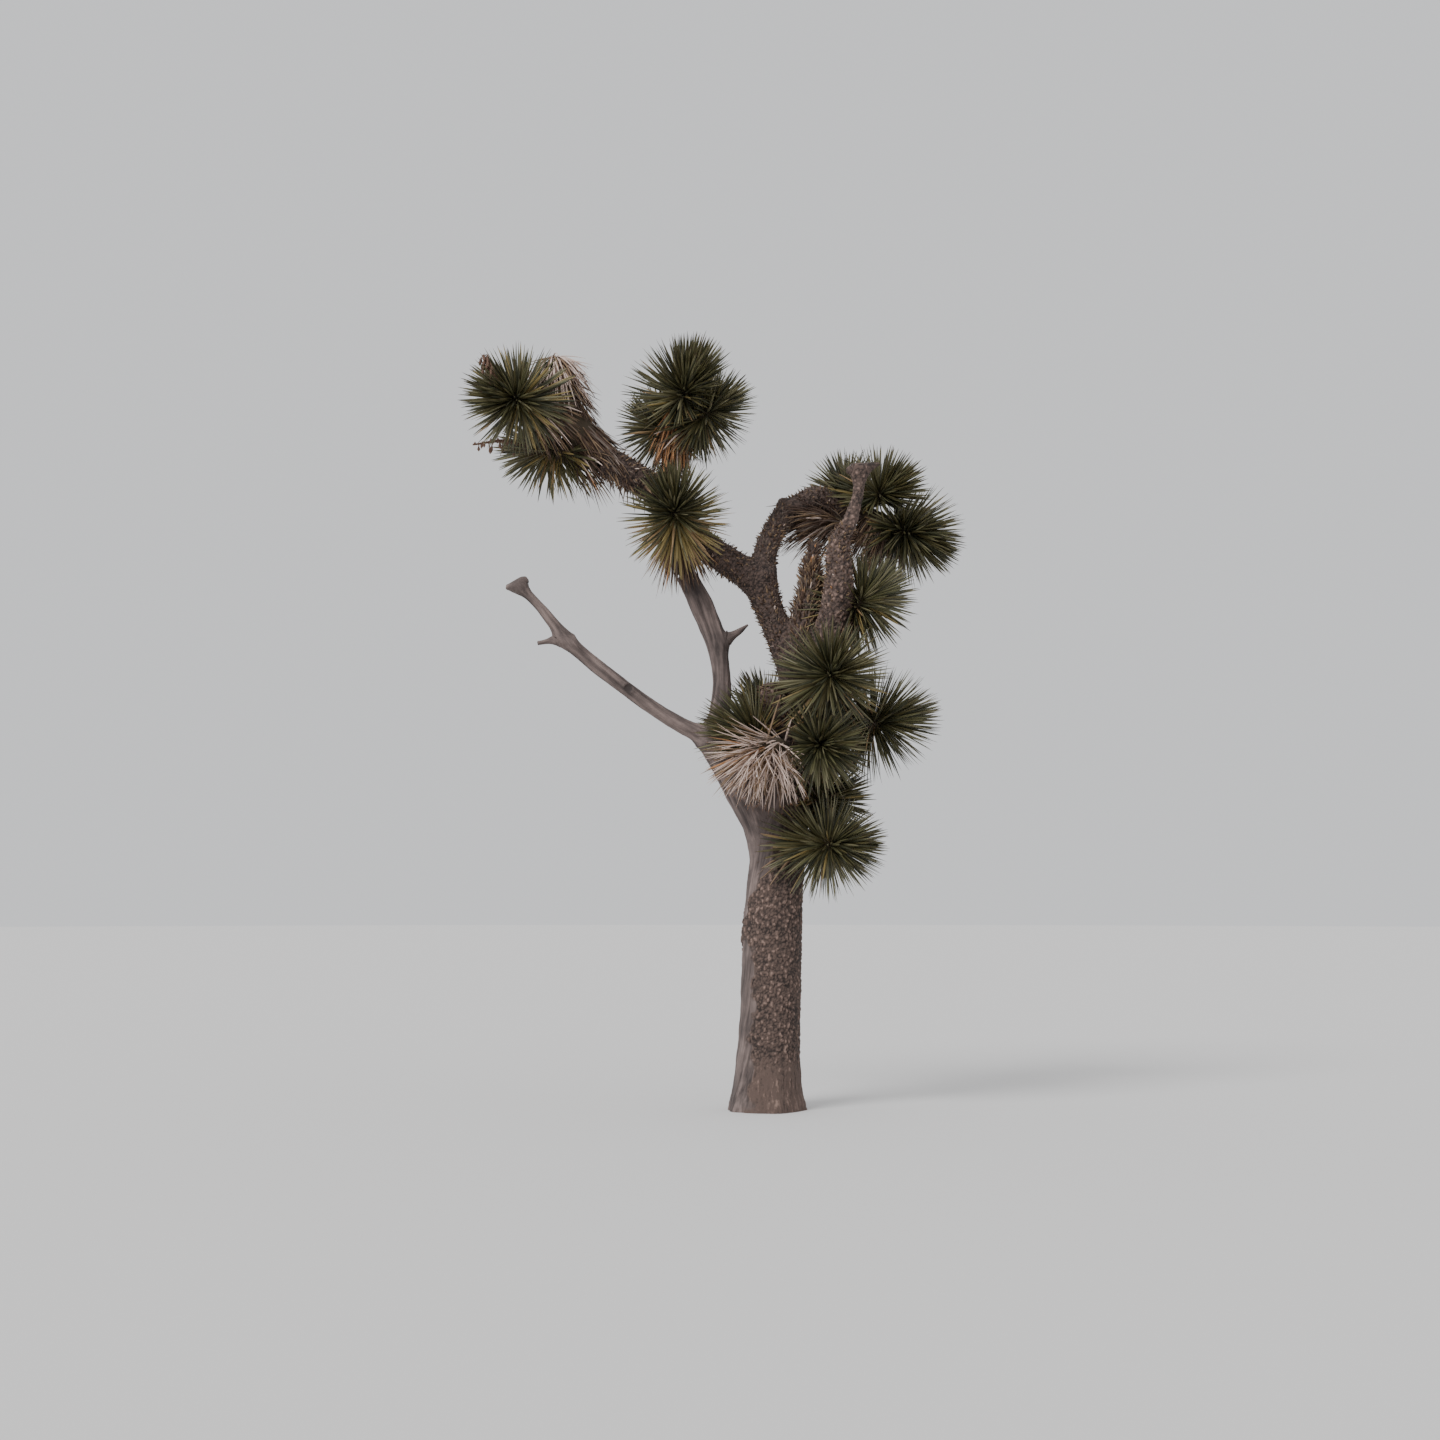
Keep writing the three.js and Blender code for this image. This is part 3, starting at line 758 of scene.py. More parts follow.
def plain_material(name, colour, roughness):
    """A material of one colour, as leaves have that are painted leaf by leaf."""
    material = bpy.data.materials.new(name)
    material.use_nodes = True
    shader = material.node_tree.nodes["Principled BSDF"]
    shader.inputs["Base Color"].default_value = (*colour, 1)
    shader.inputs["Roughness"].default_value = roughness
    return material


def tone_materials(settings, tones, roughness):
    """One plain material for each of these colours of the settings."""
    return [plain_material(tone.replace("_", " "), getattr(settings, tone), roughness) for tone in tones]


def limb_distances(places, reach):
    """Each limb's distance to each place, with its nearest station, or the reach where it is further."""
    gaps = np.full((len(LIMB_STEMS), len(places)), reach)
    stations = np.zeros(gaps.shape, int)
    for row, (name, stem) in enumerate(LIMB_STEMS.items()):
        margin = stem.radius.max() * (1 + ROOT_LOBE_DEPTH) + reach
        near = np.all((places > stem.centre.min(0) - margin) & (places < stem.centre.max(0) + margin), axis=1)
        if near.any():
            stations[row, near] = stem.nearest(places[near])
            gaps[row, near] = np.minimum(reach, surface_gap(name, stem, places[near], stations[row, near]))
    return gaps, stations


def across_limb(stem, places, stations):
    """Where places lie beside their station: towards its side, its front and along the limb."""
    offset = places - stem.centre[stations]
    axes = (stem.side, stem.front, stem.along)
    return [np.einsum("ij,ij->i", offset, axis[stations]) for axis in axes]


def surface_gap(name, stem, places, stations):
    """Distance outside a limb's surface, negative inside, with its ends cut square."""
    sideways, forward, beyond = across_limb(stem, places, stations)
    radius = stem.radius[stations] + stem.flare[stations] * beyond
    if name == "trunk":
        fade = np.exp(-np.maximum(stem.centre[stations, 2], 0) / ROOT_LOBE_HEIGHT)
        radius = radius * (1 + ROOT_LOBE_DEPTH * fade * np.cos(ROOT_LOBES * np.arctan2(forward, sideways)))
    gap = np.hypot(sideways, forward) - radius
    gap = np.where(stations == 0, np.maximum(gap, -beyond), gap)
    return np.where(stations == len(stem.centre) - 1, np.maximum(gap, beyond), gap)


def blended_gap(gaps, blend):
    """Distance outside the two nearest limbs together, with the fork between them filled out smoothly."""
    low, other = np.sort(gaps, axis=0)[:2]
    share = np.clip(0.5 + 0.5 * (low - other) / blend, 0, 1)
    return low + (other - low) * share - blend * share * (1 - share)


def mesh_points(mesh):
    points = np.empty(len(mesh.vertices) * 3, np.float32)
    mesh.vertices.foreach_get("co", points)
    return points.reshape(-1, 3).astype(float)


def mesh_normals(mesh):
    normals = np.empty(len(mesh.vertices) * 3, np.float32)
    mesh.vertex_normals.foreach_get("vector", normals)
    return normals.reshape(-1, 3).astype(float)


def move_points(mesh, points):
    mesh.vertices.foreach_set("co", points.astype(np.float32).ravel())
    mesh.update()


def joined_limbs(mesh_size):
    """All limbs as one body of even small faces."""
    lines = [stem.rows() for stem in LIMB_STEMS.values()]
    tubes = grown("wood", lines_mesh("wood lines", lines), tube_tree(None), {"Sides": TUBE_SIDES})
    remesh = tubes.modifiers.new("one body", "REMESH")
    remesh.mode = "VOXEL"
    remesh.voxel_size = mesh_size
    depsgraph = bpy.context.evaluated_depsgraph_get()
    mesh = bpy.data.meshes.new_from_object(tubes.evaluated_get(depsgraph), depsgraph=depsgraph)
    bpy.data.objects.remove(tubes)
    return mesh


def blend_forks(mesh, blend):
    """Fills the creases between limbs out to one flowing surface."""
    for _ in range(BLEND_PASSES):
        points = mesh_points(mesh)
        gaps, _ = limb_distances(points, blend)
        move_points(mesh, points - mesh_normals(mesh) * np.minimum(blended_gap(gaps, blend), 0)[:, None])


def smooth_step(values, low, high):
    """0 up to the low value, 1 from the high one on, and a smooth rise between them."""
    share = np.clip((values - low) / (high - low), 0, 1)
    return share * share * (3 - 2 * share)


def noise_at(places, scale, depth=1):
    """Smooth noise of about -1 to 1 at each place, with finer layers to this depth."""
    places = places * scale
    if depth == 1:
        return np.array([noise.noise(place) for place in places.tolist()])
    return np.array([noise.fractal(place, 1.0, 2.0, depth) for place in places.tolist()])


def cells_at(places, size):
    """Distances to the nearest and second nearest of scattered cell middles, in cells."""
    found = [noise.voronoi(place)[0][:2] for place in (places / size).tolist()]
    return np.array(found).T


class WoodSurface:
    """What the relief needs to know of each point: its limb, its place on that limb and its bareness.

    Inland is 1 on a limb and falls to 0 where it meets the next one.
    """

    def __init__(self, points):
        gaps, stations = limb_distances(points, WOOD_REACH)
        nearest, second = np.sort(gaps, axis=0)[:2]
        self.inland = smooth_step(second - nearest, 0, SEAM_WIDTH)
        self.limb = gaps.argmin(0)
        self.points = points
        self.across = np.zeros((len(points), 2))
        self.travel = np.zeros(len(points))
        self.radius = np.zeros(len(points))
        for row, stem in enumerate(LIMB_STEMS.values()):
            mine = self.limb == row
            station = stations[row, mine]
            sideways, forward, beyond = across_limb(stem, points[mine], station)
            self.across[mine] = np.column_stack([sideways, forward])
            self.travel[mine] = stem.travel[station] + beyond
            self.radius[mine] = stem.radius[station]
        self.angle = np.arctan2(self.across[:, 1], self.across[:, 0])
        self.names = np.array(list(LIMB_STEMS))[self.limb]
        self.from_left = np.degrees(math.pi - np.abs(self.angle)) * np.where(self.angle < 0, 2, 1)
        self.bare = self.bareness()

    def bareness(self):
        """1 on weathered wood, 0 on bark, with a ragged edge between them on the trunk."""
        bare = np.isin(self.names, WEATHERED).astype(float)
        ragged = noise_at(self.points, scale=9, depth=3) * STRIP_RAGGED
        wander = noise_at(self.points, scale=6) * STRIP_WANDER
        height = self.points[:, 2] - STRIP_SLOPE * self.across[:, 1] + wander
        widest = np.interp(height, STRIP_HEIGHTS, STRIP_HALF_ANGLES)
        strip = smooth_step(widest + ragged - self.from_left, -STRIP_EDGE, STRIP_EDGE)
        return np.where(self.names == "trunk", strip * (widest > 0), bare)

    def grain_places(self):
        """Coordinates that run long along each limb and turn slowly round it."""
        turn = self.travel * GRAIN_TWIST
        sideways = self.across[:, 0] * np.cos(turn) - self.across[:, 1] * np.sin(turn)
        forward = self.across[:, 0] * np.sin(turn) + self.across[:, 1] * np.cos(turn)
        return np.column_stack([sideways, forward, self.travel * GRAIN_STRETCH + self.limb * GRAIN_SHIFT])


def bark_relief(surface, look):
    """Heights of the bark, from 0 in its cracks to 1 on its nubs, and how far they stand out."""
    points = surface.points + noise_at(surface.points, scale=45)[:, None] * BARK_WARP
    near, second = cells_at(points, look.scale_size)
    domed = SCALE_HEIGHT + SCALE_CROWN * smooth_step(0.5 - near, 0, SCALE_SLOPE)
    scales = smooth_step(second - near, *CRACK_EDGE) * domed
    scattered = smooth_step(noise_at(points, scale=9, depth=2), *NUB_LOSS)
    nubs = nub_shapes(points, look.nub_spacing) * scattered * np.isin(surface.names, NUBBY_LIMBS)
    fibres = FIBRE_MEAN + FIBRE_SWING * noise_at(points * (1, 1, FIBRE_STRETCH), scale=80, depth=2)
    foot = (surface.names == "trunk") * (1 - smooth_step(points[:, 2], *FIBROUS_FOOT))
    height = np.clip(np.maximum(scales, nubs) * (1 - foot) + fibres * foot, 0, 1)
    swell = noise_at(surface.points, scale=5.5, depth=2)
    return height, look.bark_relief * (height + BARK_SWELL * swell)


def nub_shapes(points, spacing):
    """Rounded nubs with slightly sunken middles, in loose upright rows."""
    near, _ = cells_at(points * (1, 1, NUB_STRETCH), spacing)
    disc = smooth_step(NUB_HALF - near, 0, NUB_EDGE)
    return disc * (NUB_HEIGHT - DIMPLE_DEPTH * smooth_step(DIMPLE_HALF - near, 0, DIMPLE_EDGE))


def grain_relief(surface, look):
    """Heights of weathered grain, from 0 in its grooves to 1 on its ridges, and how far they stand out."""
    places = surface.grain_places()
    broad = noise_at(places, scale=1 / look.grain_width, depth=3)
    strands = strand_grooves(surface)
    scar = np.linalg.norm(surface.points - SCAR_PLACE, axis=1) / SCAR_SIZE
    outside = smooth_step(scar, *SCAR_EDGE)
    lifted = (GRAIN_SWING * broad - STRAND_SHADE * strands) * surface.inland
    height = np.clip(0.5 + lifted, 0, 1) * outside + SCAR_DEPTH * (outside - 1)
    rim = np.exp(-(((scar - RIM_PLACE) / RIM_WIDTH) ** 2))
    knots = noise_at(surface.points, scale=7, depth=2)
    raised = height - 0.5 - STRAND_DEPTH * strands + KNOT_SWING * knots + RIM_HEIGHT * rim
    return height, look.grain_depth * raised


def strand_grooves(surface):
    """Deep grooves between the strands of the upright grey bough, from 0 to 1."""
    wander = STRAND_WANDER * noise_at(surface.points, scale=3)
    turn = surface.angle + STRAND_TWIST * surface.travel + wander
    groove = np.exp((np.cos(2 * turn) - 1) / STRAND_GROOVE)
    reach = smooth_step(surface.travel, *STRAND_REACH)
    return groove * reach * (surface.names == "grey_bough")


def raise_relief(mesh, look):
    """Moves the wood's points out by their relief and writes what the material reads."""
    points = mesh_points(mesh)
    surface = WoodSurface(points)
    bark_height, bark_out = bark_relief(surface, look)
    grain_height, grain_out = grain_relief(surface, look)
    bare = surface.bare
    thin = np.clip(surface.radius / THIN_LIMB, FINEST, 1)
    bark_out += look.bark_thickness * BARK_OUTSIDE
    grain_out -= look.bark_thickness * (1 - BARK_OUTSIDE)
    out = (bark_out * (1 - bare) + grain_out * bare) * thin
    move_points(mesh, points + mesh_normals(mesh) * out[:, None])
    store(mesh, "height", bark_height * (1 - bare) + grain_height * bare)
    store(mesh, "bare", bare)
    store(mesh, "grain", surface.grain_places())
    return surface


def cut_piece(name, mesh, wanted):
    """The faces of a mesh whose points are wanted, as their own closed body, cut flat at the ground.

    The rims of its cuts are sharp, so that the caps don't bend the shading of the surface beside them.
    """
    piece = bmesh.new()
    piece.from_mesh(mesh)
    piece.verts.ensure_lookup_table()
    dropped = [face for face in piece.faces if not wanted[face.verts[0].index]]
    bmesh.ops.delete(piece, geom=dropped, context="FACES")
    everything = [*piece.verts, *piece.edges, *piece.faces]
    bmesh.ops.bisect_plane(piece, geom=everything, plane_co=(0, 0, 0), plane_no=(0, 0, 1), clear_inner=True)
    rims = [edge for edge in piece.edges if edge.is_boundary]
    caps = bmesh.ops.holes_fill(piece, edges=rims)["faces"]
    bmesh.ops.poke(piece, faces=caps)
    for edge in rims:
        edge.smooth = False
    bmesh.ops.recalc_face_normals(piece, faces=piece.faces)
    made = bpy.data.meshes.new(name)
    piece.to_mesh(made)
    piece.free()
    made.shade_smooth()
    holder = bpy.data.objects.new(name, made)
    bpy.context.scene.collection.objects.link(holder)
    return holder


def colour_steps(tree, value, steps):
    """A colour ramp through (place, colour) steps."""
    ramp = add(tree, "ShaderNodeValToRGB", {"Fac": value})
    elements = ramp.color_ramp.elements
    while len(elements) < len(steps):
        elements.new(0.5)
    for element, (place, colour) in zip(elements, steps):
        element.position = place
        element.color = (*colour, 1)
    return ramp.outputs["Color"]


def noise_node(tree, places, scale, detail=4, roughness=0.6):
    """Smooth noise from 0 to 1 in a material."""
    settings = {"Vector": places, "Scale": scale, "Detail": detail, "Roughness": roughness}
    return add(tree, "ShaderNodeTexNoise", settings).outputs["Fac"]


def wood_material(name, look):
    """Bark and weathered grain in one material, mixed by each point's bareness."""
    material = bpy.data.materials.new(name)
    material.use_nodes = True
    tree = material.node_tree
    shader = tree.nodes["Principled BSDF"]
    places = add(tree, "ShaderNodeTexCoord").outputs["Object"]
    height = add(tree, "ShaderNodeAttribute", attribute_name="height").outputs["Fac"]
    bare = add(tree, "ShaderNodeAttribute", attribute_name="bare").outputs["Fac"]
    grain = add(tree, "ShaderNodeAttribute", attribute_name="grain").outputs["Vector"]
    bark, bark_bump = bark_tones(tree, places, height, look)
    wood, wood_bump = grain_tones(tree, places, grain, height, look)
    colours = {"Factor_Float": bare, "A_Color": bark, "B_Color": wood}
    colour = add(tree, "ShaderNodeMix", colours, data_type="RGBA")
    relief = add(tree, "ShaderNodeMix", {"Factor_Float": bare, "A_Float": bark_bump, "B_Float": wood_bump})
    fine_bump = {"Height": relief.outputs["Result"], "Strength": BUMP_STRENGTH, "Distance": BUMP_DEPTH}
    bump = add(tree, "ShaderNodeBump", fine_bump)
    rough = maths(tree, "MULTIPLY_ADD", bare, WOOD_ROUGHNESS - BARK_ROUGHNESS, BARK_ROUGHNESS)
    tree.links.new(colour.outputs[2], shader.inputs["Base Color"])
    tree.links.new(rough, shader.inputs["Roughness"])
    tree.links.new(bump.outputs["Normal"], shader.inputs["Normal"])
    return material


def weighted(tree, start, parts):
    """A number plus other nodes' outputs, each times its weight."""
    for value, weight in parts:
        start = maths(tree, "MULTIPLY_ADD", value, weight, start)
    return start


def bark_tones(tree, places, height, look):
    """Colour of the bark by its height, and its fine bump."""
    fine = noise_node(tree, places, scale=150)
    mottled = noise_node(tree, places, scale=38, detail=2)
    broad = noise_node(tree, places, scale=7, detail=3)
    mixed = weighted(tree, -0.68, ((height, 1), (fine, 0.45), (mottled, 0.5), (broad, 0.5)))
    steps = ((0.02, look.bark_dark), (0.34, look.bark_mid), (0.62, look.bark_mid), (1, look.bark_pale))
    return colour_steps(tree, mixed, steps), fine


def grain_tones(tree, places, grain, height, look):
    """Colour of weathered wood along its grain, and its fine bump."""
    lines = noise_node(tree, grain, scale=110, detail=6, roughness=0.7)
    blotch = noise_node(tree, places, scale=4.5, detail=4)
    mixed = weighted(tree, -0.75, ((height, 0.6), (lines, 0.8), (blotch, 1.1)))
    steps = ((0.12, look.wood_dark), (0.52, look.wood_mid), (1, look.wood_pale))
    return colour_steps(tree, mixed, steps), lines


def leaf_tree(name, tints, foot, tip):
    """Sets a keeled dagger leaf at each point, bent by the point's sag and painted by its tint."""
    tree, given, result = new_tree(name, {"Stations": "NodeSocketInt", "Keel": "NodeSocketFloat"})
    aim = named(tree, "aim", "FLOAT_VECTOR")
    across = named(tree, "across", "FLOAT_VECTOR")
    axes = {"Primary Axis": aim, "Secondary Axis": across}
    turned = add(tree, "FunctionNodeAxesToRotation", axes, primary_axis="Z", secondary_axis="X")
    width = named(tree, "width")
    size = add(tree, "ShaderNodeCombineXYZ", {"X": width, "Y": width, "Z": named(tree, "length")})
    leaves = add(
        tree,
        "GeometryNodeInstanceOnPoints",
        {
            "Points": given["Geometry"],
            "Instance": blade_nodes(tree, given),
            "Rotation": turned.outputs["Rotation"],
            "Scale": size.outputs["Vector"],
        },
    )
    whole = add(tree, "GeometryNodeRealizeInstances", {"Geometry": leaves.outputs["Instances"]})
    share = named(tree, "share")
    sag = {"Vector": named(tree, "sag", "FLOAT_VECTOR"), "Scale": maths(tree, "POWER", share, 2)}
    drop = add(tree, "ShaderNodeVectorMath", sag, operation="SCALE")
    moved = {"Geometry": whole.outputs["Geometry"], "Offset": drop.outputs["Vector"]}
    shape = add(tree, "GeometryNodeSetPosition", moved).outputs["Geometry"]
    for number, material in enumerate(tints):
        match = {"A_INT": named(tree, "tint", "INT"), "B_INT": number}
        chosen = add(tree, "FunctionNodeCompare", match, data_type="INT", operation="EQUAL")
        shape = painted(tree, shape, chosen, material)
    at_foot = add(tree, "FunctionNodeCompare", {"A": share, "B": BASE_SHARE}, operation="LESS_THAN")
    at_tip = add(tree, "FunctionNodeCompare", {"A": share, "B": TIP_SHARE}, operation="GREATER_THAN")
    shape = painted(tree, shape, at_foot, foot)
    tree.links.new(painted(tree, shape, at_tip, tip), result["Geometry"])
    return tree


def painted(tree, shape, chosen, material):
    """The shape with one material on its chosen faces."""
    inputs = {"Geometry": shape, "Selection": chosen.outputs["Result"], "Material": material}
    return add(tree, "GeometryNodeSetMaterial", inputs).outputs["Geometry"]


def blade_nodes(tree, given):
    """One leaf of unit length and width, up +Z, with its share of the way to the tip on each point."""
    line = add(tree, "GeometryNodeCurvePrimitiveLine", {"Start": (0, 0, 0), "End": (0, 0, 1)})
    cuts = {"Curve": line.outputs["Curve"], "Count": given["Stations"]}
    stations = add(tree, "GeometryNodeResampleCurve", cuts)
    factor = add(tree, "GeometryNodeSplineParameter").outputs["Factor"]
    eased = add(tree, "ShaderNodeMapRange", {"Value": factor}, interpolation_type="SMOOTHSTEP")
    marks = {"Geometry": stations.outputs["Curve"], "Name": "share", "Value": eased.outputs["Result"]}
    marked = add(tree, "GeometryNodeStoreNamedAttribute", marks, data_type="FLOAT", domain="POINT")
    place = add(tree, "ShaderNodeCombineXYZ", {"Z": named(tree, "share")})
    moved = {"Geometry": marked.outputs["Geometry"], "Position": place.outputs["Vector"]}
    spaced = add(tree, "GeometryNodeSetPosition", moved)
    outline = add(tree, "ShaderNodeFloatCurve", {"Value": named(tree, "share")})
    set_outline(outline.mapping)
    back = maths(tree, "MULTIPLY", given["Keel"], LEAF_BACK)
    section = {"Width": 1, "Bottom Height": given["Keel"], "Top Height": back}
    kite = add(tree, "GeometryNodeCurvePrimitiveQuadrilateral", section, mode="KITE")
    blade = add(
        tree,
        "GeometryNodeCurveToMesh",
        {
            "Curve": spaced.outputs["Geometry"],
            "Profile Curve": kite.outputs["Curve"],
            "Scale": outline.outputs["Value"],
            "Fill Caps": True,
        },
    )
    merged = add(tree, "GeometryNodeMergeByDistance", {"Geometry": blade.outputs["Mesh"], "Distance": 1e-4})
    return merged.outputs["Geometry"]


def set_outline(mapping):
    """Shapes the width of a leaf from its base to its tip."""
    points = mapping.curves[0].points
    while len(points) < len(LEAF_OUTLINE):
        points.new(0.5, 0.5)
    for point, place in zip(points, LEAF_OUTLINE):
        point.location = place
        point.handle_type = "VECTOR"
    mapping.update()


def leaf_places(name, look, rng, hang=0):
    """A head's leaves, each turned the golden angle past the last, with a little unevenness."""
    habit = HABITS[HEADS[name][0]]
    stem = HEAD_STEMS[name]
    count = habit.count
    order = np.arange(count)
    share = (order + 0.5) / count
    station = np.round((habit.bare + (1 - habit.bare) * share) * (HEAD_STATIONS - 1)).astype(int)
    outward = stem.outward(station, order * GOLDEN_ANGLE + rng.normal(0, TURN_SCATTER, count))
    lean = np.radians(habit.low + (habit.high - habit.low) * share**habit.curve)
    lean = lean + rng.normal(0, math.radians(habit.scatter), count)
    aim = aimed(stem, station, outward, lean, habit.pull - hang * UP)
    root = stem.centre[station] + outward * np.maximum(stem.radius[station] - look.root_sunk, 0)[:, None]
    level = squared(np.cross(stem.along[station], outward), aim)
    across = turned_about(level, aim, rng.normal(0, ROLL_SCATTER, count))
    evenness = 1 - LEAF_END_SHORTER * np.abs(2 * share - 1)
    length = look.length * habit.length * evenness * rng.uniform(*LEAF_SPREAD, count)
    return {"root": root, "aim": aim, "across": across, "length": length, "share": share}


def aimed(stem, station, outward, lean, pull=0):
    """Directions that lean from the stem's own by these angles, pulled aside."""
    straight = outward * np.sin(lean)[:, None] + stem.along[station] * np.cos(lean)[:, None]
    return units(straight + pull)


def units(vectors):
    return vectors / np.linalg.norm(vectors, axis=1)[:, None]


def squared(vectors, axes):
    """Vectors made square to their axes."""
    return units(vectors - axes * np.einsum("ij,ij->i", vectors, axes)[:, None])


def turned_about(vectors, axes, angles):
    """Vectors square to their axes, each turned about its axis."""
    return vectors * np.cos(angles)[:, None] + np.cross(axes, vectors) * np.sin(angles)[:, None]


def least_gap(places, stems):
    """Distance from each place to the nearest of these stems, by every third of their stations."""
    centres = np.concatenate([stem.centre[::3] for stem in stems])
    gaps = (places**2).sum(1)[:, None] - 2 * places @ centres.T + (centres**2).sum(1)
    return np.sqrt(np.maximum(gaps.min(1), 0))


def strays(name, places):
    """Tells which places lie nearer to another head's stem than to their own."""
    others = [stem for other, stem in HEAD_STEMS.items() if other != name]
    return least_gap(places, others) < least_gap(places, [HEAD_STEMS[name]])


def in_limbs(places, clearance):
    """Tells which places lie inside a limb or closer to it than this."""
    gaps, _ = limb_distances(places, PROBE_REACH)
    return gaps.min(0) < clearance


def keep_to_space(name, leaves):
    """Trims leaves that leave their head's space or enter a limb, and drops those that still do."""
    kept = np.zeros(len(leaves["length"]), bool)
    full = leaves["length"].copy()
    for length in [full * trim for trim in LEAF_TRIMS]:
        bad = strays(name, leaves["root"] + leaves["aim"] * (REACH_SHARE * length)[:, None])
        for part in LEAF_PROBES:
            bad |= in_limbs(leaves["root"] + leaves["aim"] * (part * length)[:, None], LEAF_CLEARANCE)
        fits = ~kept & ~bad
        leaves["length"][fits] = length[fits]
        kept |= fits
    return chosen_rows(leaves, kept)


def chosen_rows(rows, kept):
    return {key: values[kept] for key, values in rows.items()}


def joined_rows(parts):
    return {key: np.concatenate([part[key] for part in parts]) for key in parts[0]}


def leaves_object(name, leaves, tree, keel, stations=LEAF_STATIONS):
    """Grows the leaves of these rows as one mesh."""
    columns = {key: leaves[key] for key in ("aim", "across", "length", "width", "sag", "tint")}
    seed = point_mesh(name, leaves["root"], **columns)
    return grown(name, seed, tree, {"Stations": stations, "Keel": keel})


def dealt(rng, count, shares):
    """Tints dealt out at random in these shares."""
    return rng.choice(len(shares), count, p=shares)


def living_leaves(name, look):
    """A head's living leaves with their widths, slight bends and tints, the lowest of them fading."""
    rng = np.random.default_rng([LIVING_SEED, list(HEADS).index(name)])
    leaves = keep_to_space(name, leaf_places(name, look, rng))
    leaves = chosen_rows(leaves, leaves["share"] >= HABITS[HEADS[name][0]].dead)
    count = len(leaves["length"])
    leaves["width"] = look.width * rng.uniform(*WIDTH_SPREAD, count)
    upward = np.cross(leaves["across"], leaves["aim"])
    leaves["sag"] = upward * (leaves["length"] * rng.normal(0, look.bend, count))[:, None]
    chance = FADING.get(name, USUAL_FADING) * np.interp(leaves["share"], FADE_ENDS, (1, 0))
    faded = dealt(rng, count, FADED_SHARES)
    leaves["tint"] = np.where(rng.random(count) < chance, faded, dealt(rng, count, GREEN_SHARES))
    return leaves


def dead_leaves(name, look, width, sag):
    """A head's dead leaves with their widths, bends and tints."""
    habit = HEADS[name][0]
    rng = np.random.default_rng([DEAD_SEED, list(HEADS).index(name)])
    leaves = keep_to_space(name, leaf_places(name, look, rng, HABITS[habit].hang))
    leaves = chosen_rows(leaves, leaves["share"] < HABITS[habit].dead)
    count = len(leaves["length"])
    leaves["width"] = width * rng.uniform(*DEAD_WIDTH_SPREAD, count)
    on_dome = (leaves["share"] > DOME_SHARE) & (habit == "thatch")
    sag = np.where(on_dome, DOME_SAG, sag)
    leaves["sag"] = drooped(leaves, sag, STRAW_CURL if habit == "straw" else USUAL_CURL, rng)
    tints = dealt(rng, count, DEAD_SHARES[habit])
    leaves["tint"] = np.where(on_dome, dealt(rng, count, DOME_SHARES), tints)
    return leaves


def drooped(leaves, sag, curl, rng):
    """How far each leaf's tip hangs down and curls aside."""
    count = len(leaves["length"])
    curl = np.cross(leaves["across"], leaves["aim"]) * rng.normal(0, curl, count)[:, None]
    drop = np.abs(rng.normal(sag, SAG_SCATTER * sag, count))[:, None]
    return (curl - drop * UP) * leaves["length"][:, None]


def stub_rows(number, dead):
    """The old leaf stubs of one row of the table, turned round their limb by the golden angle."""
    name, first, last, count, length, lean, below = STUBS[number]
    rng = np.random.default_rng([STUB_SEED, number])
    stem = LIMB_STEMS.get(name) or HEAD_STEMS[name]
    share = first + (last - first) * (np.arange(count) + 0.5) / count
    station = np.round(share * (len(stem.centre) - 1)).astype(int)
    round_scatter, lean_scatter = STUB_SCATTER
    outward = stem.outward(station, np.arange(count) * GOLDEN_ANGLE + rng.normal(0, round_scatter, count))
    aim = aimed(stem, station, outward, np.radians(lean) + rng.normal(0, lean_scatter, count))
    rows = {
        "root": stem.centre[station] + outward * (stem.radius[station] - STUB_ROOT)[:, None],
        "aim": aim,
        "across": squared(np.cross(stem.along[station], outward), aim),
        "length": length * rng.uniform(*STUB_SPREAD, count) + BARK_COVER,
        "width": dead.stub_width * rng.uniform(*STUB_WIDTH_SPREAD, count),
        "tint": dealt(rng, count, STUB_SHARES),
    }
    rows["sag"] = drooped(rows, STUB_SAG, USUAL_CURL, rng)
    clear = ~in_limbs(rows["root"] + rows["aim"] * rows["length"][:, None], STUB_CLEARANCE)
    return chosen_rows(rows, clear & (outward[:, 2] < UNDERSIDE) if below else clear)


def stalk_lines(points, twigs):
    """A flower stalk and its short twigs, each ending in a dry pod, as lines with girths."""
    stem = Stem(points)
    rng = np.random.default_rng([STALK_SEED, len(points), twigs])
    lines = [stem.rows()]
    for number in range(twigs):
        share = TWIG_START + (1 - TWIG_START) * (number + 0.5) / twigs
        station = int(share * (len(stem.centre) - 1))
        outward = stem.outward(np.array([station]), np.array([number * GOLDEN_ANGLE]))[0]
        reach = TWIG_LENGTH * rng.uniform(*TWIG_SPREAD)
        start = stem.centre[station]
        knee = start + reach * TWIG_KNEE * outward
        pod = start + reach * (TWIG_OUT * outward - TWIG_DOWN * UP)
        end = pod + POD_LENGTH * (pod - knee)
        lines.append(np.column_stack([(start, knee, pod, end), TWIG_GIRTHS]))
    return lines


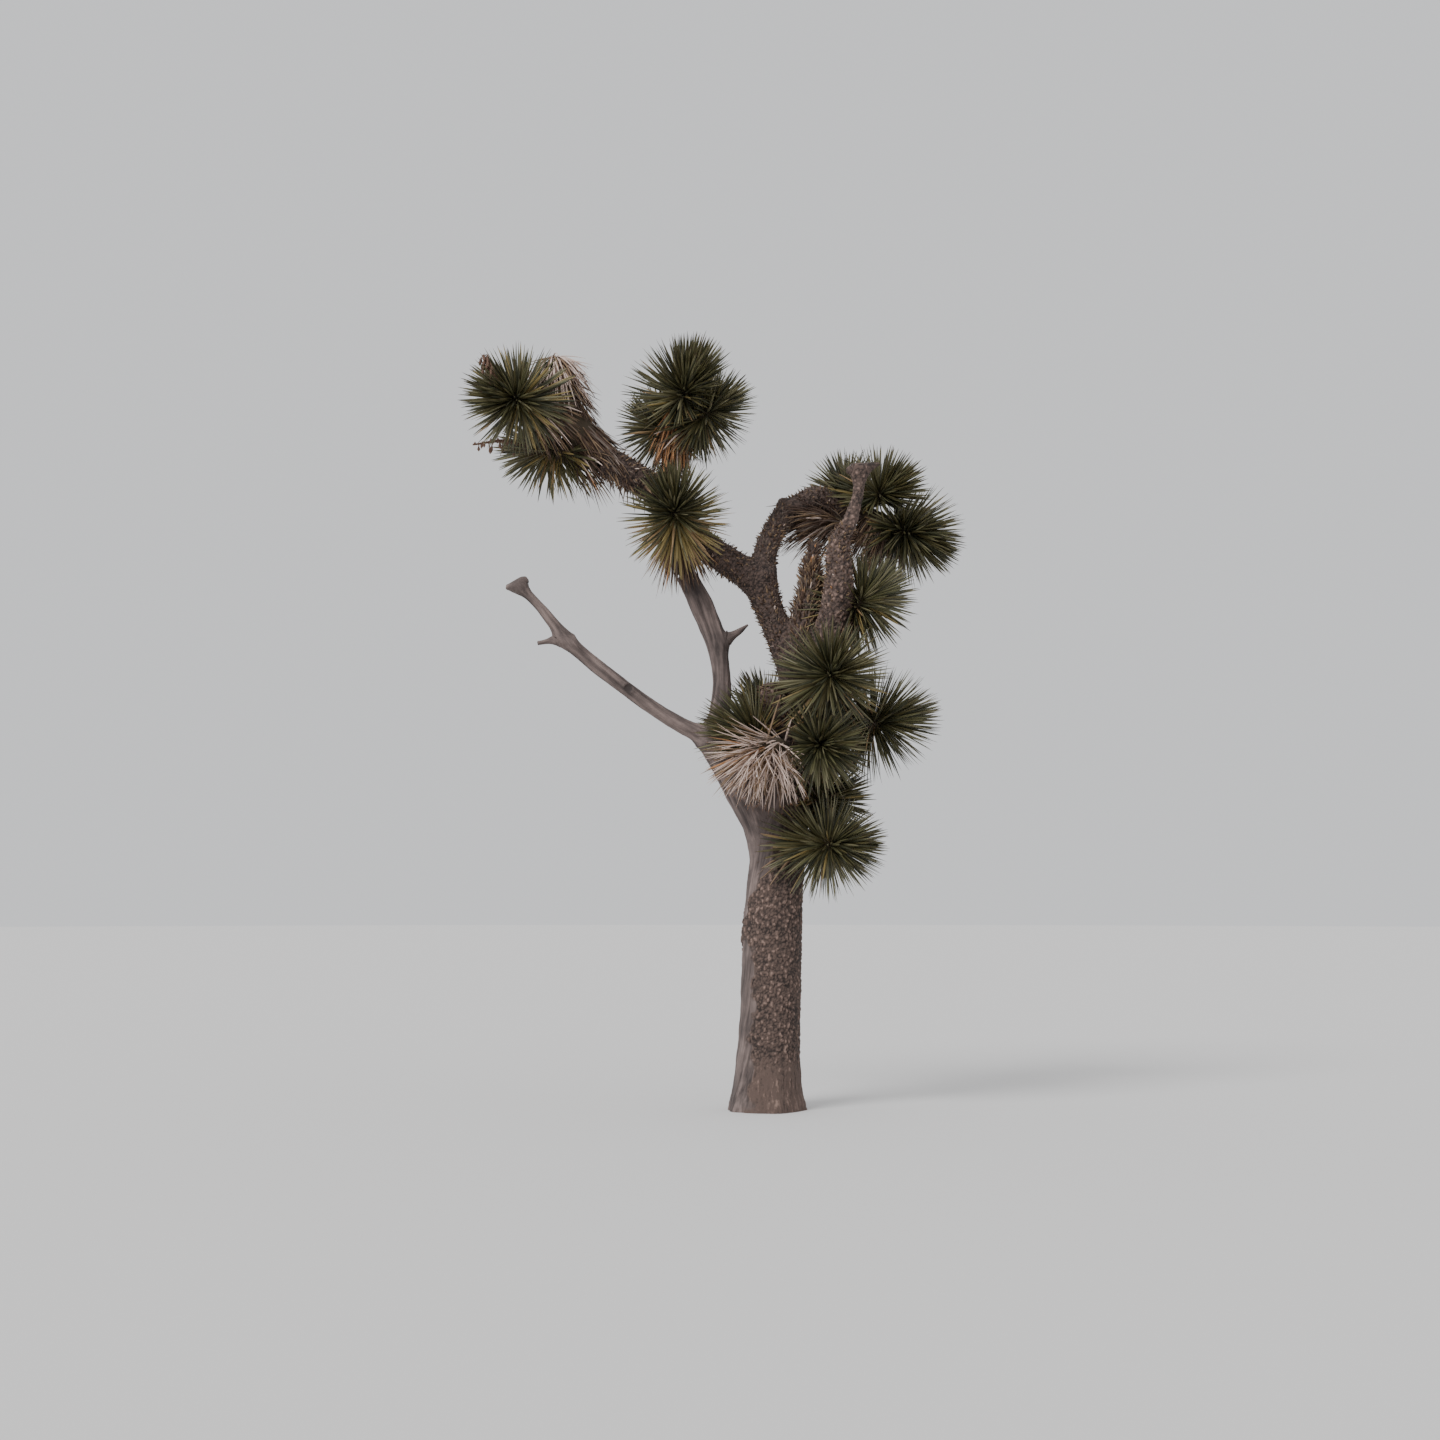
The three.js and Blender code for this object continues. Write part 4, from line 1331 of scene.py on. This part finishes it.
class JOSHUA_OT_wood(bpy.types.Operator):
    """Build the trunk, the living limbs and the weathered boughs with their relief"""

    bl_idname = "joshua.wood"
    bl_label = "Trunk and Boughs"

    def execute(self, context):
        look = context.scene.joshua_wood
        mesh = joined_limbs(look.mesh_size)
        blend_forks(mesh, look.fork_blend)
        surface = raise_relief(mesh, look)
        material = wood_material("bark and bare wood", look)
        for name, limbs in WOOD_PIECES.items():
            piece = cut_piece(name, mesh, np.isin(surface.names, limbs))
            piece.data.materials.append(material)
            nodes = [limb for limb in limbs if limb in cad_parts]
            finish_piece(piece, nodes)
        bpy.data.meshes.remove(mesh)
        return {"FINISHED"}


class JOSHUA_OT_stubs(bpy.types.Operator):
    """Set the limbs with the stubs of their old leaves"""

    bl_idname = "joshua.stubs"
    bl_label = "Leaf Stubs"

    def execute(self, context):
        dead = context.scene.joshua_dead
        tints = tone_materials(dead, DEAD_TONES, OLD_ROUGHNESS)
        brown = tints[DEAD_TONES.index("dry_brown")]
        tree = leaf_tree("leaf stubs", tints, brown, brown)
        stubs = joined_rows([stub_rows(number, dead) for number in range(len(STUBS))])
        finish_piece(leaves_object("leaf_stubs", stubs, tree, STUB_KEEL, STUB_STATIONS))
        return {"FINISHED"}


class JOSHUA_OT_leaves(bpy.types.Operator):
    """Set every living head with its dagger leaves"""

    bl_idname = "joshua.leaves"
    bl_label = "Living Leaves"

    def execute(self, context):
        look = context.scene.joshua_leaves
        tints = tone_materials(look, LIVING_TONES, GREEN_ROUGHNESS)
        foot, tip = tone_materials(look, ("leaf_foot", "tip_brown"), FOOT_ROUGHNESS)
        tree = leaf_tree("living leaves", tints, foot, tip)
        for group, heads in LEAF_GROUPS.items():
            leaves = joined_rows([living_leaves(name, look) for name in heads])
            piece = leaves_object(f"leaves_{group}", leaves, tree, look.keel)
            finish_piece(piece, heads)
        return {"FINISHED"}


class JOSHUA_OT_dead_leaves(bpy.types.Operator):
    """Set the skirts of dead leaves below the heads and the thatch on the old stems"""

    bl_idname = "joshua.dead_leaves"
    bl_label = "Dead Leaves"

    def execute(self, context):
        look = context.scene.joshua_leaves
        dead = context.scene.joshua_dead
        tints = tone_materials(dead, DEAD_TONES, DRY_ROUGHNESS)
        brown = tints[DEAD_TONES.index("dry_brown")]
        tree = leaf_tree("dead leaves", tints, brown, brown)
        for group, heads in SKIRT_GROUPS.items():
            leaves = joined_rows([dead_leaves(name, look, dead.width, dead.sag) for name in heads])
            piece = leaves_object(f"dead_leaves_{group}", leaves, tree, look.keel)
            finish_piece(piece, [name for name in heads if name.endswith("thatch")])
        return {"FINISHED"}


class JOSHUA_OT_straw(bpy.types.Operator):
    """Build the hanging bundle of bleached strands at the fork"""

    bl_idname = "joshua.straw"
    bl_label = "Straw Bundle"

    def execute(self, context):
        look = context.scene.joshua_leaves
        dead = context.scene.joshua_dead
        tints = tone_materials(dead, DEAD_TONES, DRY_ROUGHNESS)
        foot = tints[DEAD_TONES.index("pale_straw")]
        tip = tints[DEAD_TONES.index("dry_rust")]
        tree = leaf_tree("straw", tints, foot, tip)
        strands = dead_leaves("straw_skirt", look, dead.straw_width, dead.straw_sag)
        piece = leaves_object("straw_bundle", strands, tree, look.keel, STRAW_STATIONS)
        finish_piece(piece, ["straw_skirt"])
        return {"FINISHED"}


class JOSHUA_OT_head_stems(bpy.types.Operator):
    """Build the stems that carry the heads"""

    bl_idname = "joshua.head_stems"
    bl_label = "Head Stems"

    def execute(self, context):
        dead = context.scene.joshua_dead
        # Every second station is enough, and the tips end under their leaves.
        lines = [stem.rows()[:-3:2] for stem in HEAD_STEMS.values()]
        material = plain_material("stem under leaves", dead.under_leaves, DULL_ROUGHNESS)
        tubes = tube_tree(material)
        piece = grown("head_stems", lines_mesh("head lines", lines), tubes, {"Sides": STEM_SIDES})
        finish_piece(piece)
        return {"FINISHED"}


class JOSHUA_OT_flower_stalks(bpy.types.Operator):
    """Build the two old flower stalks with their dry pods"""

    bl_idname = "joshua.flower_stalks"
    bl_label = "Flower Stalks"

    def execute(self, context):
        dead = context.scene.joshua_dead
        lines = [line for points, twigs in STALKS for line in stalk_lines(points, twigs)]
        tubes = tube_tree(plain_material("flower stalk", dead.stalk, OLD_ROUGHNESS))
        piece = grown("flower_stalks", lines_mesh("stalk lines", lines), tubes, {"Sides": STALK_SIDES})
        finish_piece(piece)
        return {"FINISHED"}


class JOSHUA_OT_stage(bpy.types.Operator):
    """Set the floor, the lights and the camera"""

    bl_idname = "joshua.stage"
    bl_label = "Stage"

    def execute(self, context):
        stage = context.scene.joshua_stage
        floor = disc("floor", stage.floor_radius)
        floor.data.materials.append(plain_material("floor", stage.floor_colour, DULL_ROUGHNESS))
        set_world(stage.sky_colour, stage.sky_strength)
        add_sun(SUN_PLACE, stage.sun_strength, stage.sun_softness)
        add_camera(stage)
        return {"FINISHED"}


def disc(name, radius):
    shape = bmesh.new()
    bmesh.ops.create_circle(shape, cap_ends=True, radius=radius, segments=FLOOR_SIDES)
    mesh = bpy.data.meshes.new(name)
    shape.to_mesh(mesh)
    shape.free()
    made = bpy.data.objects.new(name, mesh)
    bpy.context.scene.collection.objects.link(made)
    return made


def set_world(colour, strength):
    world = bpy.data.worlds.new("surroundings")
    bpy.context.scene.world = world
    world.use_nodes = True
    background = world.node_tree.nodes["Background"].inputs
    background["Color"].default_value = (*colour, 1)
    background["Strength"].default_value = strength


def add_sun(place, strength, softness):
    """A soft light that comes from the side of this place."""
    lamp = bpy.data.lights.new("soft light", "SUN")
    lamp.angle = math.radians(softness)
    lamp.energy = strength
    made = bpy.data.objects.new("soft light", lamp)
    made.location = place
    made.rotation_euler = Vector(place).to_track_quat("Z", "Y").to_euler()
    bpy.context.scene.collection.objects.link(made)


def add_camera(stage):
    camera = bpy.data.cameras.new("camera")
    camera.lens = stage.lens
    camera.clip_end = CAMERA_SIGHT
    made = bpy.data.objects.new("camera", camera)
    made.location = (CAMERA_LEFT, -stage.distance, stage.eye_height)
    made.rotation_euler = (math.radians(90 + stage.pitch), 0, 0)
    bpy.context.scene.collection.objects.link(made)
    bpy.context.scene.camera = made


class JOSHUA_PT_panel(bpy.types.Panel):
    """Lists the tree's pieces in the order in which they are built"""

    bl_idname = "JOSHUA_PT_panel"
    bl_label = "Joshua Tree"
    bl_space_type = "VIEW_3D"
    bl_region_type = "UI"
    bl_category = "Joshua Tree"

    def draw(self, context):
        for operator in OPERATORS:
            self.layout.operator(operator.bl_idname)


OPERATORS = (
    JOSHUA_OT_wood,
    JOSHUA_OT_stubs,
    JOSHUA_OT_leaves,
    JOSHUA_OT_dead_leaves,
    JOSHUA_OT_straw,
    JOSHUA_OT_head_stems,
    JOSHUA_OT_flower_stalks,
    JOSHUA_OT_stage,
)
SETTINGS = {
    "joshua_wood": WoodSettings,
    "joshua_leaves": LeafSettings,
    "joshua_dead": DeadLeafSettings,
    "joshua_stage": StageSettings,
}


def register():
    for kind in (*SETTINGS.values(), *OPERATORS, JOSHUA_PT_panel):
        bpy.utils.register_class(kind)
    for name, kind in SETTINGS.items():
        setattr(bpy.types.Scene, name, PointerProperty(type=kind))


def unregister():
    for name in SETTINGS:
        delattr(bpy.types.Scene, name)
    for kind in (JOSHUA_PT_panel, *OPERATORS[::-1], *SETTINGS.values()):
        bpy.utils.unregister_class(kind)


def main():
    register()
    for operator in OPERATORS:
        group, name = operator.bl_idname.split(".")
        getattr(getattr(bpy.ops, group), name)()


if __name__ == "__main__":
    main()
